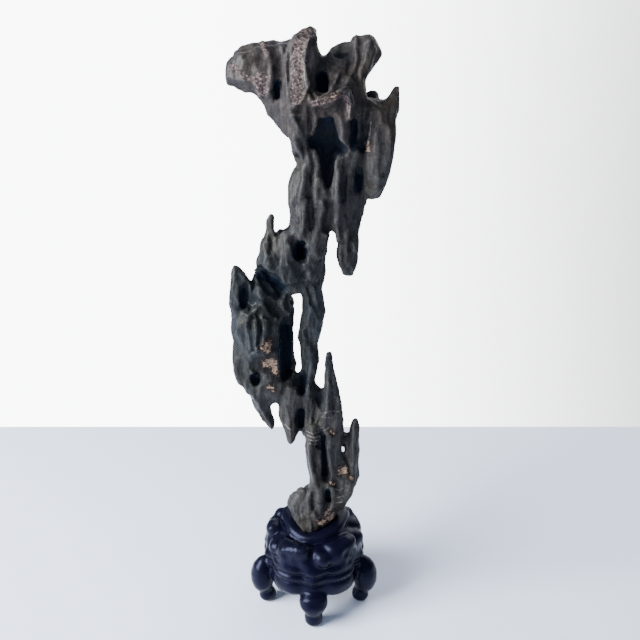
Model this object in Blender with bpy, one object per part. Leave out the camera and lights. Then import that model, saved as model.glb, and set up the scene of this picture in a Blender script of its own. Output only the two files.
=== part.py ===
"""Scholars rock standing in its carved five-footed stand.

Two pieces: the stone and the stand.  Lengths in the tables are millimetres,
taken from the stand's own axis; MM turns them into metres.
"""
import math

import bmesh
import bpy
from mathutils import Matrix, Vector

MM = 0.001
AXIS_X, AXIS_Y = 1.8, 4.8       # the stand's axis, seen from the middle of the whole box
STONE_X = 1.5           # the stone's own axis, seen from the stand's
FIT_GAP = 0.6           # clearance between the stone and its socket
SOCKET_TOP = 92         # height up to which the stone's foot shapes the socket
VOXEL = 2.0             # grid the stone's limbs are fused on
ROCK_KEEP = 0.085       # share of the fused mesh kept as facets
FLUTE_COUNT = 5         # ridges round a limb
FLUTE_DEPTH = 0.1       # their height as a share of the limb's radius

# --- the stone ----------------------------------------------------------------------
# A limb is a row of stations: x, y, z of its middle, half width, half depth.

LIMBS = {
    # head
    "arm": [(-67, -6, 483, 5, 6), (-62, -6, 484, 11, 11), (-54, -6, 487, 16, 14),
            (-46, -5, 488, 18, 16), (-34, -4, 486, 23, 18), (-20, -2, 479, 29, 20),
            (-4, 0, 470, 35, 22)],
    "arm_crest": [(-56, -2, 491, 7, 8), (-45, 0, 496, 7, 9), (-33, 2, 502, 7, 10),
                  (-24, 2, 499, 8, 11), (-10, 2, 498, 10, 13)],
    "head_core": [(10, 0, 420, 27, 18), (10, -1, 440, 27, 21), (8, -1, 455, 31, 23),
                  (4, -1, 470, 37, 24), (2, 0, 484, 36, 21), (2, 3, 494, 30, 14)],
    "crust_ridge": [(-14, -14, 440, 5, 8), (-13, -20, 455, 8, 11), (-12, -21, 470, 9, 12),
                    (-10, -18, 486, 10, 12), (-7, -11, 500, 13, 12), (-5, -7, 511, 11, 9),
                    (-5, -6, 517, 7, 6), (-6, -5, 520, 4, 4)],
    "centre_rib": [(13, -14, 456, 9, 10), (12, -21, 464, 9, 9), (22, -20, 470, 7, 9),
                   (26, -14, 480, 7, 10)],
    "side_rib": [(24, -16, 430, 5, 9), (23, -21, 448, 6, 9), (22, -19, 464, 7, 10)],
    "horn": [(26, -3, 455, 13, 18), (28, -3, 472, 11, 15), (31, -3, 484, 10, 13),
             (37, -2, 492, 10, 12), (40, -1, 501, 12, 10), (38, 0, 508, 10, 7),
             (35, 0, 514, 8, 5)],
    "back_tooth": [(16, 12, 478, 14, 9), (19, 13, 494, 13, 7), (19, 13, 502, 10, 6),
                   (17, 13, 508, 3, 3)],
    "ear": [(57, 0, 452, 9, 9), (61, -1, 465, 7, 6), (65, 0, 473, 4, 4), (66, 0, 480, 2, 2)],
    "back_bump": [(44, 9, 452, 9, 7), (46, 9, 465, 6, 5), (46, 9, 470, 3, 3)],
    "right_lobe": [(48, -3, 388, 4, 4), (49, -4, 396, 7, 8), (51, -6, 410, 10, 11),
                   (53, -7, 425, 11, 13), (54, -6, 440, 12, 13), (54, -4, 454, 12, 12),
                   (54, 0, 464, 12, 9)],
    "lobe_web": [(36, 6, 402, 7, 8), (38, 6, 425, 9, 10), (40, 6, 445, 11, 10),
                 (42, 5, 460, 11, 8)],
    # neck
    "neck": [(-6, 0, 344, 16, 13), (-3, 0, 355, 20, 15), (5, 0, 366, 28, 16),
             (8, 0, 374, 29, 17), (9, 0, 386, 31, 18), (10, 0, 400, 31, 18),
             (14, 0, 411, 26, 17), (13, 0, 426, 28, 19)],
    "neck_rib": [(-12, -12, 352, 6, 5), (-10, -15, 372, 6, 6), (-8, -15, 395, 6, 6),
                 (-4, -14, 418, 5, 6)],
    "neck_spike": [(27, 1, 378, 11, 12), (28, 0, 360, 9, 10), (28, -1, 343, 9, 9),
                   (28, -1, 333, 8, 8), (30, -1, 328, 6, 6), (33, -1, 326, 4, 4)],
    "neck_back": [(-2, 14, 350, 10, 8), (6, 17, 380, 13, 9), (2, 17, 410, 14, 10),
                  (6, 16, 440, 16, 11)],
    # middle
    "thin_spike": [(-35, -3, 376, 1, 1), (-36, -3, 367, 3, 4), (-35, -3, 357, 6, 7),
                   (-35, -3, 345, 10, 11), (-35, -3, 330, 14, 14), (-36, -1, 314, 15, 15)],
    "hip": [(-12, 0, 356, 14, 12), (-18, 0, 344, 25, 14), (-22, 0, 330, 28, 16),
            (-24, 0, 318, 28, 16), (-22, 0, 307, 26, 14)],
    "fin": [(-65, -8, 333, 2, 3), (-65, -8, 327, 6, 6), (-62, -8, 315, 10, 9),
            (-64, -7, 300, 9, 10), (-62, -6, 280, 9, 11), (-60, -4, 262, 10, 12)],
    "left_body": [(-38, -1, 314, 15, 13), (-41, -3, 298, 20, 15), (-43, -4, 279, 23, 16),
                  (-45, -4, 261, 25, 17), (-45, -4, 246, 25, 16), (-44, -3, 235, 25, 15),
                  (-40, -2, 225, 24, 14), (-36, -1, 213, 20, 12), (-34, -1, 208, 17, 10)],
    "left_rib": [(-58, -12, 300, 5, 8), (-54, -16, 285, 6, 8), (-46, -17, 268, 7, 7),
                 (-42, -16, 250, 8, 7), (-40, -12, 232, 8, 8)],
    "left_bump": [(-62, -3, 252, 7, 8), (-68, -3, 246, 5, 5), (-73, -3, 245, 2, 2)],
    "column": [(-3, 2, 346, 11, 11), (-4, 2, 325, 10, 10), (-3, 2, 308, 9, 9),
               (-1, 2, 290, 11, 9), (-3, 2, 275, 10, 9), (-5, 2, 263, 8, 8),
               (-5, 2, 249, 8, 8), (-5, 1, 237, 7, 8), (-8, 1, 226, 8, 9),
               (-10, 0, 212, 10, 10)],
    "first_point": [(-50, -3, 216, 9, 10), (-47, -3, 203, 7, 8), (-43, -3, 191, 5, 5),
                    (-40, -3, 183, 3, 4), (-39, -3, 176, 1, 1)],
    "second_point": [(-19, -4, 224, 14, 11), (-21, -4, 206, 12, 10), (-22, -4, 190, 10, 8),
                     (-22, -4, 178, 7, 6), (-22, -4, 170, 4, 4), (-22, -4, 164, 1, 1)],
    "cross_web": [(-12, 3, 222, 11, 10), (-5, 3, 206, 15, 11), (-2, 2, 190, 15, 11),
                  (0, 2, 178, 14, 10), (2, 2, 172, 12, 9)],
    "rising_spike": [(12, 0, 257, 1, 1), (12, 0, 249, 2, 3), (13, 0, 237, 4, 5),
                     (13, 0, 226, 5, 7), (13, 0, 214, 7, 9), (12, 0, 202, 11, 11),
                     (11, 0, 188, 14, 12)],
    # lower part
    "shaft": [(10, 0, 200, 13, 12), (9, 0, 184, 17, 13), (9, 0, 174, 17, 13),
              (10, -1, 160, 17, 13), (10, -1, 145, 17, 14), (11, -1, 130, 16, 14),
              (10, -2, 118, 16, 15), (8, -2, 104, 17, 16)],
    "shaft_ribs": [(-2, -10, 186, 4, 6), (-3, -12, 168, 4, 6), (-2, -12, 150, 4, 6),
                   (1, -12, 130, 4, 6), (4, -14, 112, 5, 6)],
    "finger": [(36, 0, 187, 2, 3), (36, 0, 179, 5, 5), (35, 0, 165, 6, 6),
               (34, 0, 150, 7, 8), (33, -2, 138, 7, 9), (29, -3, 127, 10, 12),
               (25, -3, 116, 11, 12), (17, -2, 104, 13, 12)],
    "finger_web": [(27, 2, 171, 4, 6), (27, 2, 150, 6, 9), (25, 0, 130, 9, 11)],
    # ridges on the far side
    "back_crest": [(-22, 20, 501, 4, 5), (-20, 21, 489, 8, 9), (-16, 21, 470, 11, 10),
                   (-10, 19, 448, 11, 10)],
    "back_hook": [(2, 20, 353, 2, 3), (3, 21, 363, 5, 6), (6, 22, 381, 7, 9),
                  (6, 21, 404, 9, 10), (4, 19, 430, 12, 12)],
    "back_fin": [(-43, 15, 318, 3, 5), (-45, 17, 304, 7, 8), (-47, 18, 284, 9, 10),
                 (-46, 16, 262, 10, 10), (-43, 13, 240, 8, 9), (-38, 10, 222, 6, 6)],
    "back_root": [(15, 12, 194, 3, 4), (15, 14, 180, 5, 6), (14, 15, 160, 7, 8),
                  (12, 14, 135, 9, 9), (8, 11, 112, 10, 8)],
    "foot_lump": [(3, -1, 62, 13, 10), (2, -2, 70, 17, 13), (1, -3, 80, 22, 17),
                  (0, -3, 90, 26, 18), (1, -2, 99, 25, 17), (5, -1, 107, 20, 15)],
}

HOLLOWS = {
    "big_cavity": [(12, -28, 452, 6, 14), (11, -26, 442, 12, 18), (11, -25, 431, 13, 18),
                   (12, -24, 420, 8, 13), (12, -24, 408, 6, 12), (13, -24, 400, 4, 9)],
    "round_cavity": [(5, -24, 478, 7, 20), (6, -22, 486, 8, 14), (7, -20, 496, 7, 14),
                     (8, -18, 512, 8, 16)],
    "notch": [(10, -30, 516, 8, 60), (8, -30, 506, 7, 60), (8, -30, 500, 4, 60)],
    "gully": [(-24, -26, 506, 3, 12), (-26, -26, 484, 5, 14), (-28, -24, 472, 6, 16),
              (-24, -24, 458, 4, 12)],
    "arm_scoop": [(-46, -24, 501, 6, 9), (-48, -24, 493, 8, 8)],
    "arm_under": [(-44, -22, 468, 8, 6), (-36, -20, 460, 8, 8)],
    "lobe_slit": [(31, -24, 456, 3, 18), (31, -24, 435, 4, 20), (33, -22, 420, 4, 18),
                  (37, -18, 404, 6, 20), (38, -16, 394, 5, 18)],
    "lobe_scoop": [(58, -22, 444, 4, 6), (58, -22, 430, 5, 8), (57, -21, 416, 4, 6)],
    "neck_groove": [(11, -24, 390, 5, 9), (11, -22, 376, 6, 12), (12, -20, 362, 7, 12)],
    "neck_flute": [(-1, -22, 412, 3, 7), (-1, -22, 385, 3, 8), (-2, -20, 362, 3, 7)],
    "neck_hole": [(-12, -20, 353, 5, 16), (-13, -20, 344, 7, 20), (-12, -20, 336, 4, 14)],
    "keyhole": [(15, 0, 362, 3, 60), (15, 0, 355, 5, 60), (15, 0, 348, 5, 60),
                (15, 0, 330, 4, 60)],
    "hip_slit": [(-6, -18, 330, 3, 8), (-10, -18, 322, 4, 9), (-14, -16, 314, 3, 8)],
    "roof_hollow": [(-44, -18, 309, 10, 9), (-36, -16, 301, 14, 14), (-28, -16, 290, 9, 14),
                    (-26, -14, 278, 6, 14)],
    "dark_slit": [(-26, -14, 284, 4, 12), (-26, -16, 262, 4, 18), (-26, -16, 244, 4, 18),
                  (-26, -14, 226, 3, 12)],
    "slot": [(-15, 0, 304, 3, 60), (-16, 0, 290, 4, 60), (-16, 0, 262, 2, 60),
             (-16, 0, 240, 2, 60), (-16, 0, 236, 2, 60)],
    "fin_leaf": [(-60, -18, 314, 3, 8), (-60, -18, 302, 4, 11), (-60, -18, 290, 3, 9)],
    "round_hole": [(-47, -20, 227, 5, 14), (-47, -20, 219, 5, 12)],
    "shaft_notch": [(-3, -8, 224, 3, 10), (-7, -12, 212, 4, 10), (-7, -13, 192, 4, 10)],
    "shaft_hollow": [(7, -18, 178, 4, 8), (7, -18, 160, 4, 13), (8, -18, 142, 4, 13),
                     (10, -17, 128, 3, 9)],
    "foot_hollow": [(13, -19, 122, 4, 10), (12, -20, 110, 5, 11), (10, -20, 99, 3, 7)],
    "finger_gap": [(26, 0, 163, 2, 60), (26, 0, 157, 3, 60), (26, 0, 152, 2, 60)],
    # far side
    "back_cavity": [(-14, 34, 480, 7, 20), (-14, 34, 463, 10, 23), (-8, 34, 447, 6, 20)],
    "back_pocket": [(20, 34, 462, 7, 22), (24, 34, 446, 9, 22), (22, 34, 428, 6, 20)],
    "back_arm": [(-44, 30, 494, 8, 20), (-40, 30, 482, 9, 21)],
    "back_flute": [(14, 36, 424, 4, 17), (16, 36, 400, 5, 18), (16, 36, 380, 4, 18)],
    "back_lobe": [(52, 26, 440, 5, 22), (52, 26, 420, 5, 22)],
    "back_hip": [(-30, 28, 344, 6, 19), (-28, 28, 328, 7, 20), (-20, 28, 316, 6, 18)],
    "back_body": [(-34, 38, 292, 6, 28), (-32, 38, 272, 7, 28), (-34, 38, 256, 6, 28)],
    "back_low": [(-30, 30, 240, 5, 22), (-28, 30, 220, 6, 23), (-28, 28, 204, 5, 19)],
    "back_shaft": [(4, 32, 186, 4, 23), (4, 32, 166, 5, 24), (3, 32, 142, 5, 23)],
}

# --- the stand -----------------------------------------------------------------------
LOBES = 5
GRID = 45               # points round the body
FRONT = -math.pi / 2    # a foot, and so a valley, faces the front
# body section from the underside's edge up to the collar:
# radius and height in a valley, radius and height at mid-lobe
BODY = [(34, 27, 38, 27), (41, 27, 47, 27), (44, 32, 50, 34), (44, 36, 49, 41),
        (46, 38, 51, 44), (43, 40, 48, 46), (45, 43, 50, 49), (42, 46, 47, 53),
        (41, 53, 49, 61), (38, 60, 47, 70), (34, 67, 43, 79), (32, 71, 37, 84)]
COLLAR_X, COLLAR_Y = 0, -1      # middle of the collar
COLLAR_A, COLLAR_B = 28, 24     # half width and half depth of its crest
COLLAR_TUBE = 4                 # its radius
RIM_FRONT, RIM_BACK = 71, 87    # height of the crest at its lowest, and at the back
RIM_LOW_AT = math.radians(-16)  # its lowest point, from the front
DISH_A, DISH_B, DISH_Z = 17, 13, 66
# foot: height, distance from the axis, half size across, half size outwards
FOOT = [(0, 46.5, 4.5, 4.5), (2, 46.5, 7, 7), (6, 46.5, 8, 8), (12, 48, 7, 7),
        (16, 50, 9, 8.5), (23, 52, 12, 11), (32, 52, 12.5, 11.5), (41, 49, 11, 10),
        (46, 46, 6, 6)]
# bosses of each lobe: angle from mid-lobe, radius from the axis, height, size
BOSSES = [(0, 39, 77, 7), (0, 44, 67, 6), (-15, 43, 59, 5.5), (15, 43, 60, 5.5),
          (-27, 37, 53, 5)]


def loft(bm, stations, sides=12, flutes=0.0, phase=0.0):
    """A closed body through rings that stand square to the row of stations."""
    points = [Vector(s[:3]) * MM for s in stations]
    depth_axis = Vector((0, 1, 0))
    rings = []
    for i, station in enumerate(stations):
        ahead = points[min(i + 1, len(points) - 1)]
        behind = points[max(i - 1, 0)]
        along = (ahead - behind).normalized()
        across = depth_axis.cross(along).normalized()
        depth = along.cross(across)
        place = Matrix((across * station[3] * MM, depth * station[4] * MM, along)).transposed()
        place = Matrix.Translation(points[i]) @ place.to_4x4()
        ring = bmesh.ops.create_circle(bm, radius=1, segments=sides, cap_ends=False,
                                       matrix=place)["verts"]
        for k, vert in enumerate(ring):
            swell = 1 + flutes * math.cos(FLUTE_COUNT * 2 * math.pi * k / sides + phase + i * 0.6)
            vert.co = points[i] + (vert.co - points[i]) * swell
        rings.append(ring)
    for low, high in zip(rings, rings[1:]):
        edges = [e for e in bm.edges if all(v in low for v in e.verts)]
        edges += [e for e in bm.edges if all(v in high for v in e.verts)]
        bmesh.ops.bridge_loops(bm, edges=edges)
    for ring in (rings[0], rings[-1]):
        bmesh.ops.contextual_create(bm, geom=[e for e in bm.edges
                                              if all(v in ring for v in e.verts)])


def finish_object(name, bm):
    bmesh.ops.recalc_face_normals(bm, faces=bm.faces)
    mesh = bpy.data.meshes.new(name)
    bm.to_mesh(mesh)
    bm.free()
    obj = bpy.data.objects.new(name, mesh)
    bpy.context.scene.collection.objects.link(obj)
    return obj


def loft_object(name, table, sides=14, flutes=0.0):
    """Every row of the table in one mesh, each as its own closed body."""
    bm = bmesh.new()
    for number, stations in enumerate(table.values()):
        part = bmesh.new()
        loft(part, stations, sides, flutes, phase=number * 1.3)
        bmesh.ops.recalc_face_normals(part, faces=part.faces)
        mesh = bpy.data.meshes.new("limb")
        part.to_mesh(mesh)
        part.free()
        bm.from_mesh(mesh)
        bpy.data.meshes.remove(mesh)
    bmesh.ops.translate(bm, vec=Vector((STONE_X, 0, 0)) * MM, verts=bm.verts)
    return finish_object(name, bm)


def guide(obj):
    """A helper shape that is not part of the object."""
    obj.hide_render = True
    obj.display_type = "WIRE"
    return obj


def remesh(obj, voxel):
    modifier = obj.modifiers.new("fuse", "REMESH")
    modifier.mode = "VOXEL"
    modifier.voxel_size = voxel * MM


def displace(obj, name, kind, size, strength, stretch, level=0.5):
    """Relief from a texture whose cells are longer up the stone than across it."""
    texture = bpy.data.textures.new(name, kind)
    texture.noise_scale = 1.0
    frame = guide(bpy.data.objects.new(name + "_cell", bpy.data.meshes.new(name)))
    frame.scale = (size * MM, size * MM, size * stretch * MM)
    bpy.context.scene.collection.objects.link(frame)
    modifier = obj.modifiers.new(name, "DISPLACE")
    modifier.texture = texture
    modifier.texture_coords = "OBJECT"
    modifier.texture_coords_object = frame
    modifier.strength = strength * MM
    modifier.mid_level = level
    return texture


def material(name, colour, roughness, metallic=0.0):
    mat = bpy.data.materials.new(name)
    mat.use_nodes = True
    shader = mat.node_tree.nodes["Principled BSDF"]
    shader.inputs["Base Color"].default_value = (*colour, 1)
    shader.inputs["Roughness"].default_value = roughness
    shader.inputs["Metallic"].default_value = metallic
    return mat


def build_rock():
    cutters = guide(loft_object("rock_hollows", HOLLOWS, sides=12))
    remesh(cutters, VOXEL)
    rock = loft_object("rock", LIMBS, sides=20, flutes=FLUTE_DEPTH)
    remesh(rock, VOXEL)
    hollow = rock.modifiers.new("hollows", "BOOLEAN")
    hollow.operation = "DIFFERENCE"
    hollow.object = cutters
    remesh(rock, VOXEL)
    smooth = rock.modifiers.new("worn", "SMOOTH")
    smooth.factor = 0.5
    smooth.iterations = 2
    displace(rock, "lumps", "CLOUDS", 16, 2.5, 2.2)
    scoops = displace(rock, "scoops", "VORONOI", 13, 5.0, 3.0, level=0.65)
    scoops.distance_metric = "DISTANCE"
    scoops.noise_intensity = 1.3
    fewer = rock.modifiers.new("facets", "DECIMATE")
    fewer.ratio = ROCK_KEEP
    rock.data.materials.append(material("dark_stone", (0.07, 0.066, 0.062), 0.45))
    return rock


def rim_height(angle):
    """Crest of the collar: lowest in front, where the stone comes forward."""
    front = 0.5 * (1 + math.cos(angle - FRONT - RIM_LOW_AT))
    return RIM_BACK + (RIM_FRONT - RIM_BACK) * front ** 2


def add_ring(bm, point_at):
    return [bm.verts.new(Vector(point_at(FRONT + 2 * math.pi * k / GRID)) * MM)
            for k in range(GRID)]


def body_ring(bm, section):
    valley_r, valley_z, lobe_r, lobe_z = section

    def point_at(angle):
        lobe = abs(math.sin(LOBES * (angle - FRONT) / 2)) ** 0.8
        radius = valley_r + (lobe_r - valley_r) * lobe
        return (radius * math.cos(angle), radius * math.sin(angle),
                valley_z + (lobe_z - valley_z) * lobe)
    return add_ring(bm, point_at)


def collar_ring(bm, grow, drop):
    return add_ring(bm, lambda angle: (COLLAR_X + (COLLAR_A + grow) * math.cos(angle),
                                       COLLAR_Y + (COLLAR_B + grow) * math.sin(angle),
                                       rim_height(angle) - drop))


def socket_cutter(rock):
    """The stone's foot made convex and grown by the fit gap."""
    bpy.context.view_layer.update()
    mesh = rock.evaluated_get(bpy.context.evaluated_depsgraph_get()).to_mesh()
    bm = bmesh.new()
    for vert in mesh.vertices:
        if vert.co.z < SOCKET_TOP * MM:
            bm.verts.new(vert.co)
    hull = bmesh.ops.convex_hull(bm, input=bm.verts)
    inside = {item for item in hull["geom_interior"] + hull["geom_unused"]
              if isinstance(item, bmesh.types.BMVert)}
    bmesh.ops.delete(bm, geom=list(inside), context="VERTS")
    bmesh.ops.dissolve_limit(bm, angle_limit=math.radians(8), verts=bm.verts, edges=bm.edges)
    bmesh.ops.triangulate(bm, faces=bm.faces)
    cutter = guide(finish_object("stand_socket", bm))
    grow = cutter.modifiers.new("gap", "DISPLACE")
    grow.mid_level = 0
    grow.strength = FIT_GAP * MM
    return cutter


def build_stand(rock):
    bm = bmesh.new()
    tube = COLLAR_TUBE
    rings = [body_ring(bm, section) for section in BODY]
    rings += [collar_ring(bm, tube, tube * 0.7), collar_ring(bm, tube * 0.6, tube * 0.2),
              collar_ring(bm, 0, 0), collar_ring(bm, -tube * 0.6, tube * 0.3),
              collar_ring(bm, -tube, tube)]
    rings.append(add_ring(bm, lambda angle: (COLLAR_X + DISH_A * math.cos(angle),
                                             COLLAR_Y + DISH_B * math.sin(angle), DISH_Z)))
    for low, high in zip(rings, rings[1:]):
        for k in range(GRID):
            n = (k + 1) % GRID
            bm.faces.new((low[k], low[n], high[n], high[k]))
    bm.faces.new(rings[0])
    bm.faces.new(rings[-1])
    body = finish_object("stand", bm)

    def combine(operation, other):
        joined = body.modifiers.new(other.name, "BOOLEAN")
        joined.operation = operation
        joined.object = guide(other)

    for k in range(LOBES):
        bm = bmesh.new()
        loft(bm, [(0, -r, z, across, out) for z, r, across, out in FOOT], sides=12)
        turn = Matrix.Rotation(2 * math.pi * k / LOBES, 4, "Z")
        bmesh.ops.transform(bm, matrix=turn, verts=bm.verts)
        combine("UNION", finish_object("stand_foot_%d" % (k + 1), bm))
    for lobe in range(LOBES):
        for number, (turn, radius, height, size) in enumerate(BOSSES):
            angle = FRONT + 2 * math.pi * (lobe + 0.5) / LOBES + math.radians(turn)
            place = Matrix.Translation(Vector((radius * math.cos(angle),
                                               radius * math.sin(angle), height)) * MM)
            bm = bmesh.new()
            bmesh.ops.create_icosphere(bm, subdivisions=2, radius=size * MM, matrix=place)
            combine("UNION", finish_object("stand_boss_%d_%d" % (lobe + 1, number + 1), bm))
    combine("DIFFERENCE", socket_cutter(rock))
    body.data.materials.append(material("black_wood", (0.012, 0.011, 0.016), 0.35))
    return body


def main():
    for obj in list(bpy.data.objects):
        bpy.data.objects.remove(obj, do_unlink=True)
    build_stand(build_rock())
    for obj in bpy.data.objects:
        obj.location += Vector((AXIS_X, AXIS_Y, 0)) * MM


main()
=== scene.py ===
"""A perforated scholars rock standing in its carved five-footed stand.

Two pieces, the stone and the stand, with a pale floor, soft light and a camera.
Tables are in millimetres.
"""

import math

import bmesh
import bpy
import numpy as np
from bpy.props import FloatProperty, FloatVectorProperty, IntProperty, PointerProperty
from mathutils import Matrix, Vector, noise
from mathutils.bvhtree import BVHTree


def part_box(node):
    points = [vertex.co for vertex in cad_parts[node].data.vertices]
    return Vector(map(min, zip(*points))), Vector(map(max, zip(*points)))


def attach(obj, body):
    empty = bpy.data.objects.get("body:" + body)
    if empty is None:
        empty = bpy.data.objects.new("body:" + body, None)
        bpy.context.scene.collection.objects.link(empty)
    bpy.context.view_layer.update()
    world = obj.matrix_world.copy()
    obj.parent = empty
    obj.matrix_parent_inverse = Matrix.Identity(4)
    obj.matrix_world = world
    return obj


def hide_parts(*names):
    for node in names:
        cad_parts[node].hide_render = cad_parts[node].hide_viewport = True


bl_info = {
    "name": "Scholars Rock",
    "version": (1, 0, 0),
    "blender": (4, 5, 0),
    "location": "3D View > Sidebar > Scholars Rock",
    "description": "A perforated scholars rock in its carved stand, with floor, light and camera",
    "category": "Add Mesh",
}

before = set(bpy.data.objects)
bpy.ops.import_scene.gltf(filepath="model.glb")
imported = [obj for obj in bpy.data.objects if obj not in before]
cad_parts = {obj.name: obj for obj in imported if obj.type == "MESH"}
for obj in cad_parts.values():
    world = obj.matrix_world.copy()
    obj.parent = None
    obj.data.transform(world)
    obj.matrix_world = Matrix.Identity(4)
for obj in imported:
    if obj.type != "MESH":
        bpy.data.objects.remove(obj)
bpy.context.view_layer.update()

MM = 0.001
STONE_AT = (3.3, 4.8)           # the stone's own axis
STAND_AT = (1.8, 4.8)           # the stand's axis
EYE = (7.7, -615.0, 500.6)      # where the stone is looked at from, mm
TILT = math.radians(19.4)       # how far down the view looks
VIEW_SIZE = 640                 # side of the view's frame
VIEW_REACH = 760                # eye to frame, in the frame's units
LIMB_SIDES, HOLLOW_SIDES = 24, 20   # points round a limb and round a hollow
FIRST_GRID = 1.6                # spacing at which limbs, and hollows, grow together
WARP_SEED = 1                   # noise_vector is seeded from the clock until this is set
FLUTE_COUNT = 5                 # ridges round a limb
FLUTE_DEPTH = 0.08              # their height as a share of the limb's radius
SOCKET_TOP = 92                 # height up to which the stone's foot shapes the socket
FIT_GAP = 0.5                   # clearance between the stone and its socket

# --- the stone ---

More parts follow.
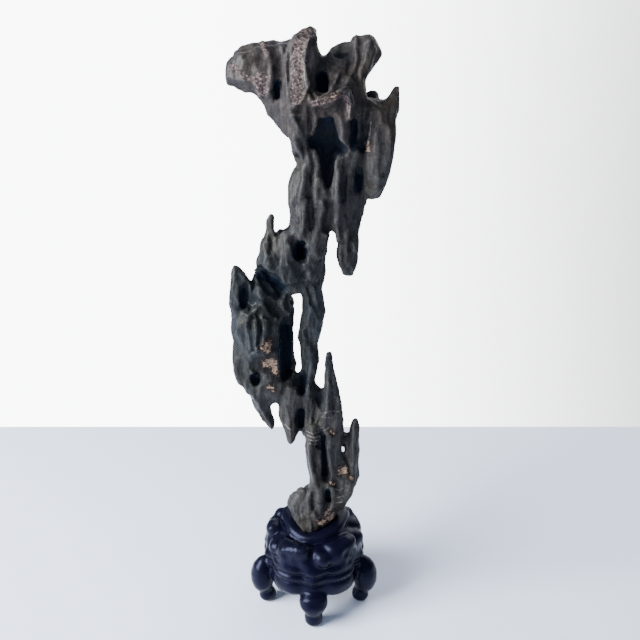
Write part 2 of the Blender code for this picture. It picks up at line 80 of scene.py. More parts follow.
# Limbs: stations along each one, as x, y, z, then half width and half depth there.
LIMBS = {
    # head
    "arm": [(-67, -6, 483, 5, 6), (-62, -6, 484, 11, 11), (-54, -6, 487, 16, 14),
        (-46, -5, 488, 18, 16), (-34, -4, 486, 23, 18), (-20, -2, 479, 29, 20),
        (-4, 0, 470, 35, 22)],
    "arm_crest": [(-60, -2, 496, 5.5, 7), (-47, 0, 501, 7, 9), (-33, 2, 503, 7, 10),
        (-24, 2, 502, 8, 11), (-10, 2, 500, 10, 13)],
    "head_core": [(10, 0, 420, 27, 18), (10, -1, 440, 27, 21), (8, -1, 455, 31, 23),
        (4, -1, 470, 37, 24), (2, 0, 484, 36, 21), (2, 3, 494, 30, 14)],
    "crust_ridge": [(-11, -12, 424, 4, 7), (-12, -15, 440, 6, 9), (-13, -18, 455, 8, 11),
        (-12, -19, 470, 9, 11), (-10, -17, 486, 10, 12), (-7, -11, 500, 13, 12),
        (-4, -7, 510.5, 11.2, 9), (-4, -6, 515.5, 8, 6), (-5, -5, 518.6, 4.5, 4)],
    "gully_fill": [(-20, -10, 446, 5.5, 8), (-23, -13, 463, 7.5, 9), (-26, -13, 478, 8, 9),
        (-24, -9, 492, 8, 9), (-21, -5, 502.5, 7, 8)],
    "centre_rib": [(13, -14, 456, 9, 9), (12, -18, 464, 9, 8), (22, -17, 470, 7, 8),
        (26, -13, 480, 7, 9)],
    "fork": [(-8, -26, 471, 2.4, 4), (0, -27.5, 464, 3, 4), (7, -27.5, 464, 3, 4),
        (15, -27, 469, 3, 4), (23, -22, 476, 3, 4)],
    "fork_side": [(15, -26, 470, 2.4, 4), (24, -25.5, 472, 2.8, 4), (26.5, -24, 463, 2.6, 5),
        (26, -21, 450, 2.4, 6), (24, -19, 438, 3, 6)],
    "side_rib": [(24, -15, 430, 5, 9), (23, -18, 448, 6, 9), (22, -16, 464, 7, 9)],
    "horn": [(26, -3, 455, 13, 18), (28, -3, 472, 11, 15), (31, -3, 484, 10, 13),
        (36.5, -2, 492, 10, 12), (39, -1, 500, 11.8, 10), (37.2, 0, 507, 10.6, 7),
        (35.3, 0, 511.5, 9, 5), (35.3, 0, 513.5, 7, 4)],
    "back_tooth": [(16, 10, 478, 14, 9), (20, 11, 492, 12.5, 7), (20.5, 11, 499, 9, 5),
        (20, 11, 503, 6, 3.5)],
    "tooth_top": [(14, 11, 502, 3, 3), (21, 10, 505, 3.2, 3.4), (30, 8, 506.5, 3.6, 4)],
    "back_wall": [(10, 12, 494, 6, 6), (18, 12, 499, 7, 6), (27, 9, 500, 7, 7),
        (36, 4, 499, 8, 8)],
    "lobe_bridge": [(30, 0, 456, 10, 11), (42, -3, 457, 9, 11), (52, -4, 456, 9, 10)],
    "ear": [(56.4, 0, 452, 8.5, 9), (61.2, -1, 463, 6, 6), (63.8, 0, 471, 4.2, 4.4),
        (64.8, 0, 476, 3, 3)],
    "back_bump": [(44, 9, 452, 9, 7), (46, 9, 465, 6, 5), (46, 9, 470, 3, 3)],
    "right_lobe": [(48, -3, 388, 4, 4), (49, -4, 396, 7, 8), (51, -6, 410, 9.5, 11),
        (52.5, -7, 425, 10.5, 13), (53.2, -6, 440, 11.2, 13), (53.4, -4, 454, 11.4, 12),
        (53, 0, 464, 11, 9)],
    "lobe_seam": [(41, 5, 409, 4, 5), (43, 5, 400, 4, 5), (44, 5, 393, 3, 4)],
    "lobe_web": [(36, 6, 402, 7, 8), (38, 6, 425, 9, 10), (40, 6, 445, 11, 10),
        (42, 5, 460, 11, 8)],
    # neck
    "neck": [(-6, 0, 344, 16, 13), (-3, 0, 355, 20, 15), (4.3, 0, 366, 28.7, 16),
        (6.2, 0, 374, 29.2, 17), (7.6, 0, 386, 31, 18), (9.6, 0, 400, 30.4, 18),
        (13, 0, 411, 27.4, 17.5), (12.6, 0, 426, 28.8, 19)],
    "neck_rib": [(-12, -11, 358, 3, 3), (-10, -15, 372, 6, 6), (-8, -15, 395, 6, 6),
        (-6, -14, 412, 5, 6), (-5, -13, 430, 4, 5)],
    "neck_spike": [(26.3, 1, 378, 9.8, 12), (27.6, 0, 360, 8.6, 10), (28, -1, 343, 9, 9),
        (28, -1, 333, 8, 8), (30, -1, 328, 6, 6), (33.6, -1, 325.5, 4.6, 4)],
    "neck_back": [(-2, 14, 350, 10, 8), (6, 17, 380, 13, 9), (2, 17, 410, 14, 10),
        (6, 16, 440, 16, 11)],
    # middle
    "thin_spike": [(-35, -3, 376, 2, 2.5), (-36, -3, 370, 3.6, 4), (-36.5, -3, 362, 4.8, 5),
        (-36.6, -3, 354, 7.4, 7), (-36, -3, 345, 10.6, 11), (-35, -3, 330, 14, 14),
        (-36, -1, 314, 15, 15)],
    "hip": [(-12, 0, 356, 14, 12), (-18, 0, 344, 25, 14), (-22, 0, 330, 28, 16),
        (-22, 0, 320, 26, 15)],
    "slot_top": [(-18, 3, 324, 9, 9), (-15, 3, 313, 10, 9), (-14, 3, 306, 8, 8)],
    "lump_high": [(-50, -6, 308, 5, 6), (-45, -9, 311, 7, 8), (-39, -7, 309, 5, 6)],
    "lump_low": [(-42, -4, 295, 6, 7), (-34, -4, 297, 9, 8), (-27, -3, 299, 6, 7)],
    "twig": [(-63, -14, 284, 1.6, 3), (-55, -17.5, 292, 1.8, 3), (-47, -17, 300, 1.6, 3)],
    "fin": [(-65, -8, 333, 2, 3), (-65, -8, 327, 6, 6), (-62, -8, 315, 10, 9),
        (-64, -7, 300, 9, 10), (-62, -6, 280, 9, 11), (-60, -4, 262, 10, 12)],
    "left_body": [(-38, 2, 314, 15, 11), (-41, -1, 298, 20, 13), (-43, -4, 281, 23, 16),
        (-45, -4, 261, 25, 17), (-45, -4, 246, 25, 16), (-44, -3, 235, 25, 15),
        (-40, -2, 225, 24, 14), (-36, -1, 213, 20, 12), (-34, -1, 208, 17, 10)],
    "left_rib": [(-58, -12, 300, 5, 8), (-54, -16, 285, 6, 8), (-46, -17, 268, 7, 7),
        (-42, -16, 250, 8, 7), (-40, -12, 232, 8, 8)],
    "slit_back": [(-24, 11, 298, 5, 6), (-26, 14, 284, 8, 7), (-26, 14, 255, 8, 7),
        (-26, 13, 230, 8, 7), (-25, 9, 218, 5, 6)],
    "left_bump": [(-62, -3, 252, 7, 8), (-68, -3, 246, 5, 5), (-73, -3, 245, 2, 2)],
    "column": [(-2.2, 2, 346, 12.2, 11), (-3.4, 2, 325, 11, 10), (-3, 2, 308, 9, 9),
        (-1.6, 2, 290, 10.2, 9), (-3.4, 2, 275, 10.4, 9), (-5.4, 2, 263, 8.5, 8),
        (-5.4, 2, 249, 8.5, 8), (-5.2, 1, 237, 7.4, 8), (-8, 1, 226, 8, 9), (-10, 0, 212, 10, 10)],
    "first_point": [(-50, -3, 216, 9, 10), (-47, -3, 203, 7, 8), (-43, -3, 191, 5, 5),
        (-40, -3, 183, 3, 4), (-39, -3, 176, 1, 1)],
    "second_point": [(-19, -4, 224, 14, 11), (-21, -4, 206, 12, 10), (-22, -4, 190, 10, 8),
        (-22, -4, 178, 7, 6), (-22, -4, 170, 4, 4), (-22, -4, 164, 1, 1)],
    "cross_web": [(-12, 3, 222, 11, 10), (-5, 3, 206, 15, 11), (-2, 2, 190, 15, 11),
        (0, 2, 178, 14, 10), (2, 2, 172, 12, 9)],
    "rising_spike": [(11.7, 0, 253, 2.3, 2.3), (12, 0, 247, 3.2, 3.4), (12.8, 0, 237, 4.7, 5),
        (13.5, 0, 226, 5.5, 7), (13.8, 0, 214, 7.7, 9), (12.8, 0, 202, 11.6, 11),
        (11.8, 0, 188, 14.6, 12)],
    # lower part
    "shaft": [(10, 0, 200, 13, 12), (9, 0, 184, 17, 13), (9, 0, 174, 17, 13),
        (10, -1, 160, 17, 13), (10, -1, 145, 17, 14), (11, -1, 130, 16, 14), (10, -2, 118, 16, 15),
        (8, -2, 104, 17, 16)],
    "shaft_ribs": [(-2, -10, 186, 4, 6), (-3, -12, 168, 4, 6), (-2, -12, 150, 4, 6),
        (1, -12, 130, 4, 6), (4, -14, 112, 5, 6)],
    "finger": [(36, 0, 187, 2, 3), (36, 0, 179, 5, 5), (35, 0, 165, 6, 6), (34, 0, 150, 7, 8),
        (33, -2, 138, 7, 9), (29, -3, 127, 10, 12), (25, -3, 116, 11, 12), (17, -2, 104, 13, 12)],
    "finger_web": [(27, 2, 171, 4, 6), (27, 2, 150, 6, 9), (25, 0, 130, 9, 11)],
    # ridges on the far side
    "back_crest": [(-22, 20, 501, 4, 5), (-20, 21, 489, 8, 9), (-16, 21, 470, 11, 10),
        (-10, 19, 448, 11, 10)],
    "back_hook": [(2, 20, 353, 2, 3), (3, 21, 363, 5, 6), (6, 22, 381, 7, 9), (6, 21, 404, 9, 10),
        (4, 19, 430, 12, 12)],
    "back_fin": [(-43, 15, 318, 3, 5), (-45, 17, 304, 7, 8), (-47, 18, 284, 9, 10),
        (-46, 16, 262, 10, 10), (-43, 13, 240, 8, 9), (-38, 10, 222, 6, 6)],
    "back_root": [(15, 12, 194, 3, 4), (15, 14, 180, 5, 6), (14, 15, 160, 7, 8),
        (12, 14, 135, 9, 9), (8, 11, 112, 10, 8)],
    # foot
    "foot_lump": [(2, 1, 60, 7, 5), (1, 0, 68, 10, 8), (0, 0, 76, 12, 11), (-1, 0, 84, 16, 13),
        (-1, -1, 91, 19, 14), (1, -1, 99, 21, 14), (5, -1, 107, 18, 14)],
}
# Hollows cut into them, laid out in the same way.
HOLLOWS = {
    "arch": [(9, -22, 454, 6, 14), (9.5, -20, 448, 9, 21), (10, -19, 438, 10.5, 24),
        (11, -19, 428, 9, 24), (10, -20, 417, 6, 22), (10, -20, 406, 5.8, 19),
        (10, -21, 399, 4.5, 12)],
    "big_cavity": [(-3.5, -20, 434, 4, 17), (3, -19, 435, 8.5, 23), (12, -19, 434, 10, 24),
        (20, -19, 430, 6, 22), (25, -20, 426, 3, 15)],
    "round_cavity": [(6, -20, 471, 4, 12), (6.5, -18, 474.5, 6.3, 19), (6.5, -18, 479, 6.3, 18),
        (6.5, -20, 482.5, 4, 11)],
    "bowl": [(6, -28, 472, 7, 9), (7, -27, 483, 10, 10), (9, -27, 496, 9, 11),
        (10, -26, 512, 9, 12)],
    "notch": [(10, -30, 516, 8, 60), (8, -30, 506, 6, 60), (7, -30, 500, 4, 60),
        (6.5, -30, 496.5, 2, 60)],
    "gully": [(-25, -35, 500, 4, 9), (-27, -34, 484, 6, 11), (-28, -32, 474, 5, 11)],
    "gully_hole": [(-28, -24, 480, 3, 12), (-28, -22, 474, 4.5, 15), (-27, -22, 467, 3, 11)],
    "arm_scoop": [(-46, -26, 499, 7, 8), (-48, -26, 490, 9, 7)],
    "arm_under": [(-44, -22, 468, 8, 6), (-36, -20, 460, 8, 8)],
    "lobe_slit": [(31, -24, 452, 3, 16), (31, -24, 438, 4, 18), (31, -25, 428, 3.4, 12),
        (33, -25, 419, 3.4, 10), (36, -18, 405, 6.4, 17), (38, -15, 396, 4.8, 16),
        (39, -14, 390, 2.5, 10)],
    "neck_groove": [(11, -24, 390, 5, 9), (11, -22, 376, 6, 12), (12, -20, 362, 7, 12)],
    "neck_flute": [(-1, -22, 412, 3, 7), (-1, -22, 385, 3, 8), (-2, -20, 362, 3, 7)],
    "neck_hole": [(-11, -20, 355, 5, 18), (-12, -20, 346, 8, 24), (-11, -20, 336, 5, 18)],
    "keyhole": [(15, 0, 362, 3, 60), (15, 0, 355, 5, 60), (15, 0, 348, 5, 60),
        (15, 0, 330, 4, 60)],
    "hip_slit": [(-6, -18, 330, 3, 8), (-10, -18, 322, 4, 9), (-14, -16, 314, 3, 8)],
    "roof_hollow": [(-54, -20, 333, 4.5, 12), (-47, -20, 328, 7.5, 20), (-38, -19, 321, 9, 22),
        (-30, -18, 313, 10, 22), (-24, -16, 305, 8, 20)],
    "lump_recess": [(-41, -21, 305, 4, 10), (-35, -21, 299, 7.5, 14), (-28, -21, 291, 7, 14),
        (-25, -20, 282, 5, 12)],
    "dark_slit": [(-25, -15, 290, 4, 18), (-25.5, -16, 276, 7, 25), (-25.5, -16, 250, 7.2, 25),
        (-25, -15, 229, 5.5, 20)],
    "slit_wall": [(-21, -25, 290, 4.5, 20), (-21, -25, 262, 4.5, 25), (-21, -25, 236, 4.5, 22)],
    "step": [(-58, -25, 248, 5, 7), (-50, -25, 247, 12, 10.5), (-38, -25, 247, 12, 10.5),
        (-32, -24, 246, 10, 9)],
    "slot": [(-14.5, 0, 307, 1.4, 60), (-15, 0, 303, 3.2, 60), (-16.4, 0, 290, 4, 60),
        (-17, 0, 262, 2.2, 60), (-17, 0, 240, 2.2, 60), (-16.6, 0, 236, 2, 60)],
    "fin_leaf": [(-57.5, -18, 320, 3.5, 9), (-56.5, -18, 308, 5.6, 12), (-57.5, -18, 296, 4, 10)],
    "round_hole": [(-51, -20, 240, 3, 14), (-51, -20, 236, 5.4, 18), (-51, -20, 229, 5.4, 18),
        (-51, -20, 225, 3, 14)],
    "cross_notch": [(-11, -10, 237, 3.5, 10), (-12, -12, 228, 5, 13), (-11, -12, 217, 4, 11)],
    "low_notch": [(-12, -12, 202, 4, 11), (-13.5, -12, 191, 5.5, 13), (-13, -12, 181, 3.5, 10)],
    "shaft_notch": [(-1, -14, 212, 2.5, 8), (1, -14, 200, 3, 8), (-2, -14, 190, 2.5, 7)],
    "shaft_hollow": [(6, -18, 182, 4, 8), (5.5, -18, 169, 5, 13), (8, -18, 154, 4.6, 13),
        (9, -18, 141, 5.6, 14), (10, -17, 130, 4, 9)],
    "foot_hollow": [(13, -19, 122, 4, 10), (12, -20, 110, 5, 11), (10, -20, 99, 3, 7)],
    "finger_gap": [(26, -16, 167, 2.2, 4.5), (26, 0, 157, 2.4, 5), (26, 16, 147, 2.2, 4.5)],
    # far side
    "back_cavity": [(-14, 34, 480, 7, 20), (-14, 34, 463, 10, 23), (-8, 34, 447, 6, 20)],
    "back_pocket": [(20, 34, 464, 8, 24), (23, 34, 446, 11, 27), (22, 34, 426, 7, 23)],
    "back_neck": [(-2, 36, 414, 5, 18), (-4, 36, 394, 6, 22), (-2, 36, 374, 5, 18)],
    "back_arm": [(-44, 30, 494, 8, 20), (-40, 30, 482, 9, 21)],
    "back_flute": [(14, 36, 418, 5, 20), (16, 36, 400, 6, 24), (16, 36, 378, 5, 21)],
    "back_lobe": [(52, 26, 444, 6, 24), (52, 26, 422, 6, 25)],
    "back_hip": [(-30, 28, 344, 6, 19), (-28, 28, 328, 7, 20), (-20, 28, 316, 6, 18)],
    "back_body": [(-34, 38, 292, 6, 28), (-32, 38, 272, 7, 28), (-34, 38, 256, 6, 28)],
    "back_low": [(-30, 30, 240, 5, 22), (-28, 30, 220, 6, 23), (-28, 28, 204, 5, 19)],
    "back_shaft": [(4, 32, 186, 4, 23), (4, 32, 166, 5, 24), (3, 32, 142, 5, 23)],
}
# Corners of the foot's flat broken faces.
FOOT_CORNERS = [(-27, -4, 100.5), (-25, 4, 95), (-24.5, -2, 109), (-16, -4, 117.5),
    (-13, -10, 119.5), (-20, -12, 91), (-22, -12.5, 96), (-1, -18.5, 96), (4.4, -17.5, 88),
    (-12.6, -17.5, 81.5), (-6, -18.5, 79.5), (1.6, -17.5, 81), (16.7, -12, 88), (23, -8, 94.5),
    (27, -5, 104), (0, 0, 62), (-8, 5, 70), (8, 6, 70), (-16, 10, 98), (16, 12, 100), (-20, 5, 86),
    (18, 6, 85), (24, -2, 114), (2, -12, 112)]

# Lines and patches drawn on the stone's front face, in the view's own frame.
# Crests: half width and height in mm, then the points of each line.
CRESTS = {
    "crust_left": (2.4, 2.0,
        [(296, 36), (291, 46), (287, 62), (287, 78), (289, 92), (290, 108), (292, 116)]),
    "crust_right": (2.4, 2.2,
        [(312, 38), (306, 52), (304, 64), (306, 78), (310, 86), (306, 97), (297, 107)]),
    "bowl_rim": (2.6, 2.4, [(306, 78), (312, 92), (320, 101), (331, 94), (336, 82), (338, 75)]),
    "fork_left": (2.6, 2.6, [(306, 94), (314, 104), (322, 103), (334, 97), (345, 88)]),
    "fork_right": (2.4, 2.6, [(334, 97), (347, 92), (350, 104), (349, 118)]),
    "arch_left": (2.4, 1.6, [(314, 106), (316, 116), (315, 126), (311, 134)]),
    "wedge_sides": (2.0, 1.4, [(290, 112), (297, 124), (304, 138), (306, 150)],
        [(305, 100), (306, 116), (306, 132), (305, 146)]),
    "wedge_foot": (2.0, 1.2, [(291, 117), (296, 114), (304, 115)]),
    "arm_crest": (2.6, 1.0, [(262, 42), (268, 53), (271, 66), (271, 84), (268, 96)]),
    "arm_ledge": (2.2, 1.4, [(228, 76), (240, 80), (256, 82), (262, 96)]),
    "gully_side": (2.2, 0.8, [(280, 44), (285, 60), (285, 90), (289, 112)]),
    "horn_edge": (2.4, 1.1, [(357, 36), (356, 48), (358, 60), (353, 72), (346, 84)]),
    "horn_side": (2.0, 1.2, [(371, 40), (366, 56), (361, 72), (362, 90), (366, 100)]),
    "lobe_edge": (2.0, 0.9, [(374, 104), (371, 120), (369, 138), (368, 160), (370, 180)]),
    "lobe_back": (2.0, 0.8, [(388, 104), (386, 116), (391, 136), (390, 160)]),
    "lobe_bottom": (2.0, 1.0, [(366, 190), (373, 196), (381, 188)]),
    "neck": (3.0, 1.4, [(292, 116), (300, 132), (306, 146), (309, 160)],
        [(287, 128), (296, 142), (303, 160), (304, 180), (300, 200)],
        [(314, 150), (317, 168), (315, 188), (316, 206)],
        [(341, 170), (337, 190), (339, 208), (337, 222)]),
    "neck_low": (3.0, 1.2, [(296, 166), (293, 184), (291, 204)],
        [(325, 184), (322, 196), (323, 208)],
        [(350, 170), (347, 190), (349, 212), (346, 240), (347, 262)],
        [(355, 196), (354, 220), (355, 250)]),
    "hole_lip": (2.4, 1.8, [(307, 246), (305, 257), (298, 263), (291, 258), (289, 246)]),
    "fin_edge": (1.8, 1.2, [(240, 274), (250, 284), (251, 298), (247, 312)]),
    "roof_lip": (2.2, 1.6, [(252, 268), (264, 276), (278, 282), (290, 294), (292, 304)]),
    "slabs": (1.8, 1.6, [(247, 320), (248, 340), (249, 358)], [(255, 316), (256, 336), (257, 352)],
        [(263, 316), (264, 334), (262, 344)]),
    "slab_right": (1.8, 1.4, [(276, 318), (277, 340), (278, 362), (280, 378)]),
    "column": (3.0, 1.4, [(309, 274), (314, 292), (319, 312), (316, 332)],
        [(302, 330), (309, 350), (313, 372), (311, 392)]),
    "column_side": (3.0, 1.2, [(318, 330), (314, 346), (310, 362)]),
    "teeth": (1.6, 1.2, [(254, 396), (262, 410), (270, 424)],
        [(284, 396), (288, 412), (291, 434)]),
    "rising_spike": (2.8, 1.2, [(330, 360), (329, 380), (328, 400), (325, 416)],
        [(334, 372), (337, 392), (339, 412), (341, 432)]),
    "shaft": (2.8, 1.3, [(311, 420), (309, 440), (311, 462), (315, 482)],
        [(319, 434), (320, 452), (319, 470), (322, 484)], [(329, 432), (330, 452), (331, 470)]),
    "finger": (1.6, 1.0, [(354, 426), (353, 446), (354, 466), (351, 480)]),
    "foot": (3.0, 1.3, [(312, 484), (309, 500), (308, 516), (312, 530)],
        [(322, 486), (318, 500), (322, 516)], [(333, 488), (334, 502), (330, 514)]),
    "foot_edge": (3.2, 1.2, [(292, 508), (300, 517), (314, 516), (322, 524)]),
}
# Grooves: half width and depth in mm, then the points of each line.
GROOVES = {
    "arm_bowl": (8.0, 0.8, [(250, 53), (255, 60)]),
    "gully_run": (4.5, 1.2, [(277, 44), (279, 62), (279, 84), (278, 100)]),
    "wedge": (3.4, 1.4, [(299, 106), (300, 118)]),
    "horn_flute": (3.6, 1.1, [(362, 44), (361, 62)]),
    "horn_cup": (3.0, 1.6, [(351, 60), (349, 70)]),
    "lobe_scoop": (5.4, 2.8, [(382, 130), (382, 148), (380, 172)]),
    "lobe_cup": (3.0, 1.6, [(365, 112), (364, 124)]),
    "neck_leaf_left": (3.0, 1.8, [(298, 156), (299, 168)]),
    "neck_leaf_middle": (3.2, 2.0, [(309, 170), (308, 184), (309, 196)]),
    "neck_leaves": (2.6, 1.6, [(321, 190), (322, 198)], [(331, 190), (331, 204)],
        [(344, 180), (343, 200)], [(298, 206), (299, 224)], [(310, 208), (311, 228)]),
    "spike_leaf": (2.6, 1.4, [(351, 224), (350, 250)]),
    "thin_flute": (3.0, 1.8, [(272, 236), (271, 252)]),
    "fin_leaf": (2.6, 2.4, [(243, 288), (242, 300), (241, 310)]),
    "slab_flute_left": (2.2, 1.4, [(251.5, 322), (252.5, 350)]),
    "slab_flute_middle": (2.4, 1.6, [(260, 320), (259, 346)]),
    "slab_flute_right": (3.0, 1.4, [(270, 320), (270, 340)]),
    "column_flute_high": (3.0, 1.8, [(308, 288), (312, 304)]),
    "column_flutes": (2.4, 1.4, [(308, 330), (307, 350)], [(305, 366), (306, 386)]),
    "recesses": (3.0, 2.0, [(303, 376), (302, 392)], [(302, 410), (301, 424)]),
    "spike_flute": (2.0, 1.2, [(333, 392), (334, 414)]),
    "web_dark": (4.0, 2.4, [(319, 398), (322, 410), (317, 422)]),
    "shaft_flute": (2.4, 1.4, [(315, 444), (315, 470)]),
    "shaft_dark": (2.6, 2.4, [(323, 436), (323, 456), (325, 474)]),
    "hole_low": (2.6, 3.6, [(328, 492), (329, 499)]),
    "finger_line": (1.8, 1.8, [(343, 453), (348, 463), (351, 477)]),
    "finger_flute": (1.8, 1.2, [(350, 436), (350, 462)]),
    "foot_flute_left": (2.6, 1.4, [(314, 494), (314, 508)]),
    "foot_flute_right": (2.2, 1.4, [(325, 508), (322, 518)]),
    "marks": (1.1, 0.35, [(306, 431), (313, 434), (325, 430)],
        [(307, 435), (314, 438), (320, 436)], [(308, 439), (314, 441.5), (319, 440)],
        [(309, 443), (314, 445), (318, 444)]),
}
# Planes broken or ground across the front: how far they are levelled, then the corners.
PLANES = {
    "crust_face": (0.75, [(297, 36), (312, 39), (306, 52), (304, 64), (306, 78), (310, 86),
        (305, 98), (292, 112), (289, 92), (287, 78), (287, 62), (291, 46)]),
    "arm_tip": (0.6, [(229, 66), (237, 52), (243, 60), (241, 76), (230, 76)]),
    "wedge_face": (0.6, [(292, 112), (305, 98), (308, 116), (299, 124)]),
    "pale_face": (0.7, [(335, 76), (350, 87), (348, 92), (334, 92)]),
    "horn_face": (0.6, [(356, 37), (370, 38), (377, 50), (366, 60), (358, 52)]),
    "slab_face": (0.7, [(248, 322), (262, 316), (263, 344), (250, 350)]),
    "slab_right": (0.6, [(264, 318), (277, 322), (278, 350), (265, 346)]),
    "broken_face": (0.7, [(250, 354), (276, 350), (280, 372), (262, 378), (250, 370)]),
    "foot_left": (0.3, [(290, 500), (304, 490), (308, 512), (294, 512)]),
    "foot_front": (0.4, [(296, 518), (314, 517), (320, 524), (308, 532)]),
}
# Patches of colour: radius in the view's frame, then the points of a line.
CRUST = [(8, [(301, 42), (297, 60), (297, 80), (297, 98)]), (6, [(300, 30), (306, 34)]),
    (4, [(232, 66), (240, 72), (256, 82)]), (8, [(263, 79), (262, 91)]),
    (4, [(314, 104), (326, 101), (340, 93)]), (3, [(346, 96), (349, 112)]),
    (4, [(262, 44), (268, 54)]), (4, [(330, 512), (320, 520)])]
CHIPS = [(4, [(367, 142), (368, 150)]), (2.2, [(331, 97), (336, 96)]),
    (5, [(264, 347), (268, 350)]), (4, [(270, 342), (266, 346)]), (5, [(264, 364), (274, 362)]),
    (4, [(274, 368), (278, 374)]), (3, [(269, 386), (273, 390)]), (5, [(340, 471), (345, 470)]),
    (2.5, [(330, 483), (335, 484)]), (2.5, [(331, 432), (334, 434)]),
    (2.5, [(350, 477), (353, 480)]), (3, [(320, 523), (331, 518)]), (2, [(331, 518), (334, 512)])]
# Painted shade: dark patches drawn in the recesses of the front, where shade falls.
SHADES = [(7, [(285, 331), (285, 374)]), (3.6, [(257, 275), (271, 280), (282, 287)]),
    (3.2, [(303, 378), (303, 394)]), (3.2, [(301, 411), (301, 426)]),
    (3, [(324, 438), (324, 474)]), (3, [(328, 491), (328, 500)]), (5, [(298, 247), (298, 257)]),
    (4, [(354, 122), (354, 148)]), (4.5, [(358, 178), (357, 189)]), (4, [(244, 292), (243, 306)])]
# White veins, as the points of each line.
VEINS = [[(306, 431), (313, 434), (325, 430), (330, 427)], [(307, 435), (314, 438), (320, 436)],
    [(308, 439), (314, 441.5), (319, 440)], [(309, 443), (314, 445), (318, 444)],
    [(285, 424), (288, 428), (293, 431)], [(325, 413), (333, 411), (341, 412)],
    [(322, 417), (330, 418)], [(371, 122), (370, 132), (368, 146)],
    [(248, 302), (252, 306), (256, 303)], [(336, 498), (344, 496)], [(335, 503), (342, 502)],
    [(346, 486), (340, 490), (335, 489)], [(306, 60), (304, 76), (306, 86)],
    [(349, 92), (350, 104), (349, 118)]]
# How crust and chips lie on the far side: size of their clouds, where they begin, lowest z.
FAR_SIDE = {"crust": (30, 0.15, 440), "chip": (11, 0.75, 100)}
VEIN_WIDTH = 3.0                # distance in mm at which a vein has faded out
# Scoops: lowest and highest z where they are full, size of one scoop, how much
# longer it is up the stone than across, depth, seed.
SCOOPS = [(430, 600, 15, 1.5, 3.4, 3.1), (330, 430, 10, 3.6, 3.0, 7.7),
          (200, 330, 11, 2.6, 3.0, 1.9), (104, 200, 8, 3.4, 2.2, 5.3),
          (0, 104, 15, 1.4, 1.6, 9.2)]

# --- the stand ---
LOBES = 5
TURN_STEPS = 180        # points round the body
FOOT_SIDES = 32         # points round a foot
FRONT = -math.pi / 2    # a foot, and so a corner, faces the front
# body section from the underside's edge up to the collar: radius between the lobes,
# radius at the corner over a foot, radius at mid-lobe, then heights at both
BODY = [(35, 37, 37, 27, 27), (41, 43, 46, 26.5, 26.5), (45, 47.5, 49, 30, 31),
        (46, 49.5, 50, 36, 37.5), (45, 48.5, 48.5, 40, 41.5), (42.8, 46, 46.5, 41.5, 43),
        (46, 49.5, 49.7, 43.5, 45), (46, 49.5, 49.7, 46.5, 48), (42.8, 46.3, 46.3, 49.3, 50.8),
        (45.6, 49.5, 49.4, 52, 53.5), (45.6, 49.3, 49, 55, 56.5), (42, 45.5, 45.5, 57, 59),
        (41, 44.5, 47.5, 60.5, 65), (38.5, 41, 46.5, 65, 71), (34.5, 36, 42, 69, 76),
        (30.5, 31, 35, 72, 78.5)]
COLLAR_X, COLLAR_Y = 1.2, 2.5   # middle of the collar
COLLAR_A, COLLAR_B = 24, 24.5   # half width and half depth of its crest
COLLAR_WIDER = 0.2              # how much wider its back half is
COLLAR_TUBE = 6                 # its radius
RIM_FRONT, RIM_BACK = 80, 87    # height of the crest at its lowest, and at the back
RIM_LOW_AT = math.radians(-16)  # its lowest point, from the front
DISH_IN, DISH_DOWN = 10, 1.2    # the dish inside the collar: how far in and down
# foot: height, distance from the axis, half size across, half size outwards
FOOT = [(0, 46.5, 4.5, 4.5), (1.2, 46.5, 6.4, 6.4), (4, 46.5, 8.2, 8.2), (8, 46.5, 8.4, 8.2),
        (11.5, 47, 6.8, 6.8), (13, 47.5, 6.8, 6.8), (16, 49, 9.4, 8.6), (20, 50.2, 11.8, 10.4),
        (25, 51, 12.6, 11.2), (31, 51, 12.5, 11.3), (37, 49.6, 10.9, 10.6), (42, 46.8, 8.2, 9.3),
        (46, 44, 5, 6.5)]
# the foot in front sits lower under the apron
FRONT_FOOT = [(0, 46.5, 4.5, 4.5), (1.2, 46.5, 6.6, 6.6), (4, 46.5, 8.4, 8.4),
              (10, 46.5, 8.6, 8.4), (14, 47, 7.4, 7.2), (15.5, 47.5, 7.4, 7.2),
              (18, 48.5, 10, 9), (22, 48.8, 12.8, 10.4), (26, 47.3, 13.4, 10),
              (29.5, 43.5, 12, 8), (32.5, 40, 9, 6)]
# bosses of each lobe: angle from mid-lobe, radius from the axis, height, size
BOSSES = [(17, 38.5, 71, 8), (-8, 39, 69, 5.5), (0, 43.5, 58, 5.5), (24, 39.5, 61.5, 6.5),
          (30, 41.5, 58, 4.8), (-23, 38.5, 64, 7)]
# bosses beside the collar at the back: angle, radius from the axis, height, size
SHOULDERS = [(28, 35, 77, 7), (155, 35, 77, 7)]
FOOT_BACK = {1: 3, 4: -3}       # degrees that the feet at the sides stand further back
# dents between the bosses of a lobe: degrees from mid-lobe, height, half width across
# and up, depth
DENTS = [(4, 68, 6, 5, 2.0), (-14, 59, 5, 5, 0.8)]
# raised lines of a lobe: half width, height, then degrees from mid-lobe and height
FOLDS = [(9, 2.8, [(-24, 65), (-33, 70), (-42, 75)]), (5, 0.8, [(12, 79), (4, 74)])]
ROUND = 0.8                     # mm along the lobe for one degree round the axis


# --- measuring and moving a mesh's points, in millimetres ---

def points_of(mesh):
    co = np.empty(len(mesh.vertices) * 3, np.float32)
    mesh.vertices.foreach_get("co", co)
    return co.reshape(-1, 3).astype(float) / MM


def normals_of(mesh):
    normal = np.empty(len(mesh.vertices) * 3, np.float32)
    mesh.vertex_normals.foreach_get("vector", normal)
    return normal.reshape(-1, 3).astype(float)


def set_points(mesh, co):
    mesh.vertices.foreach_set("co", (co * MM).astype(np.float32).ravel())
    mesh.update()


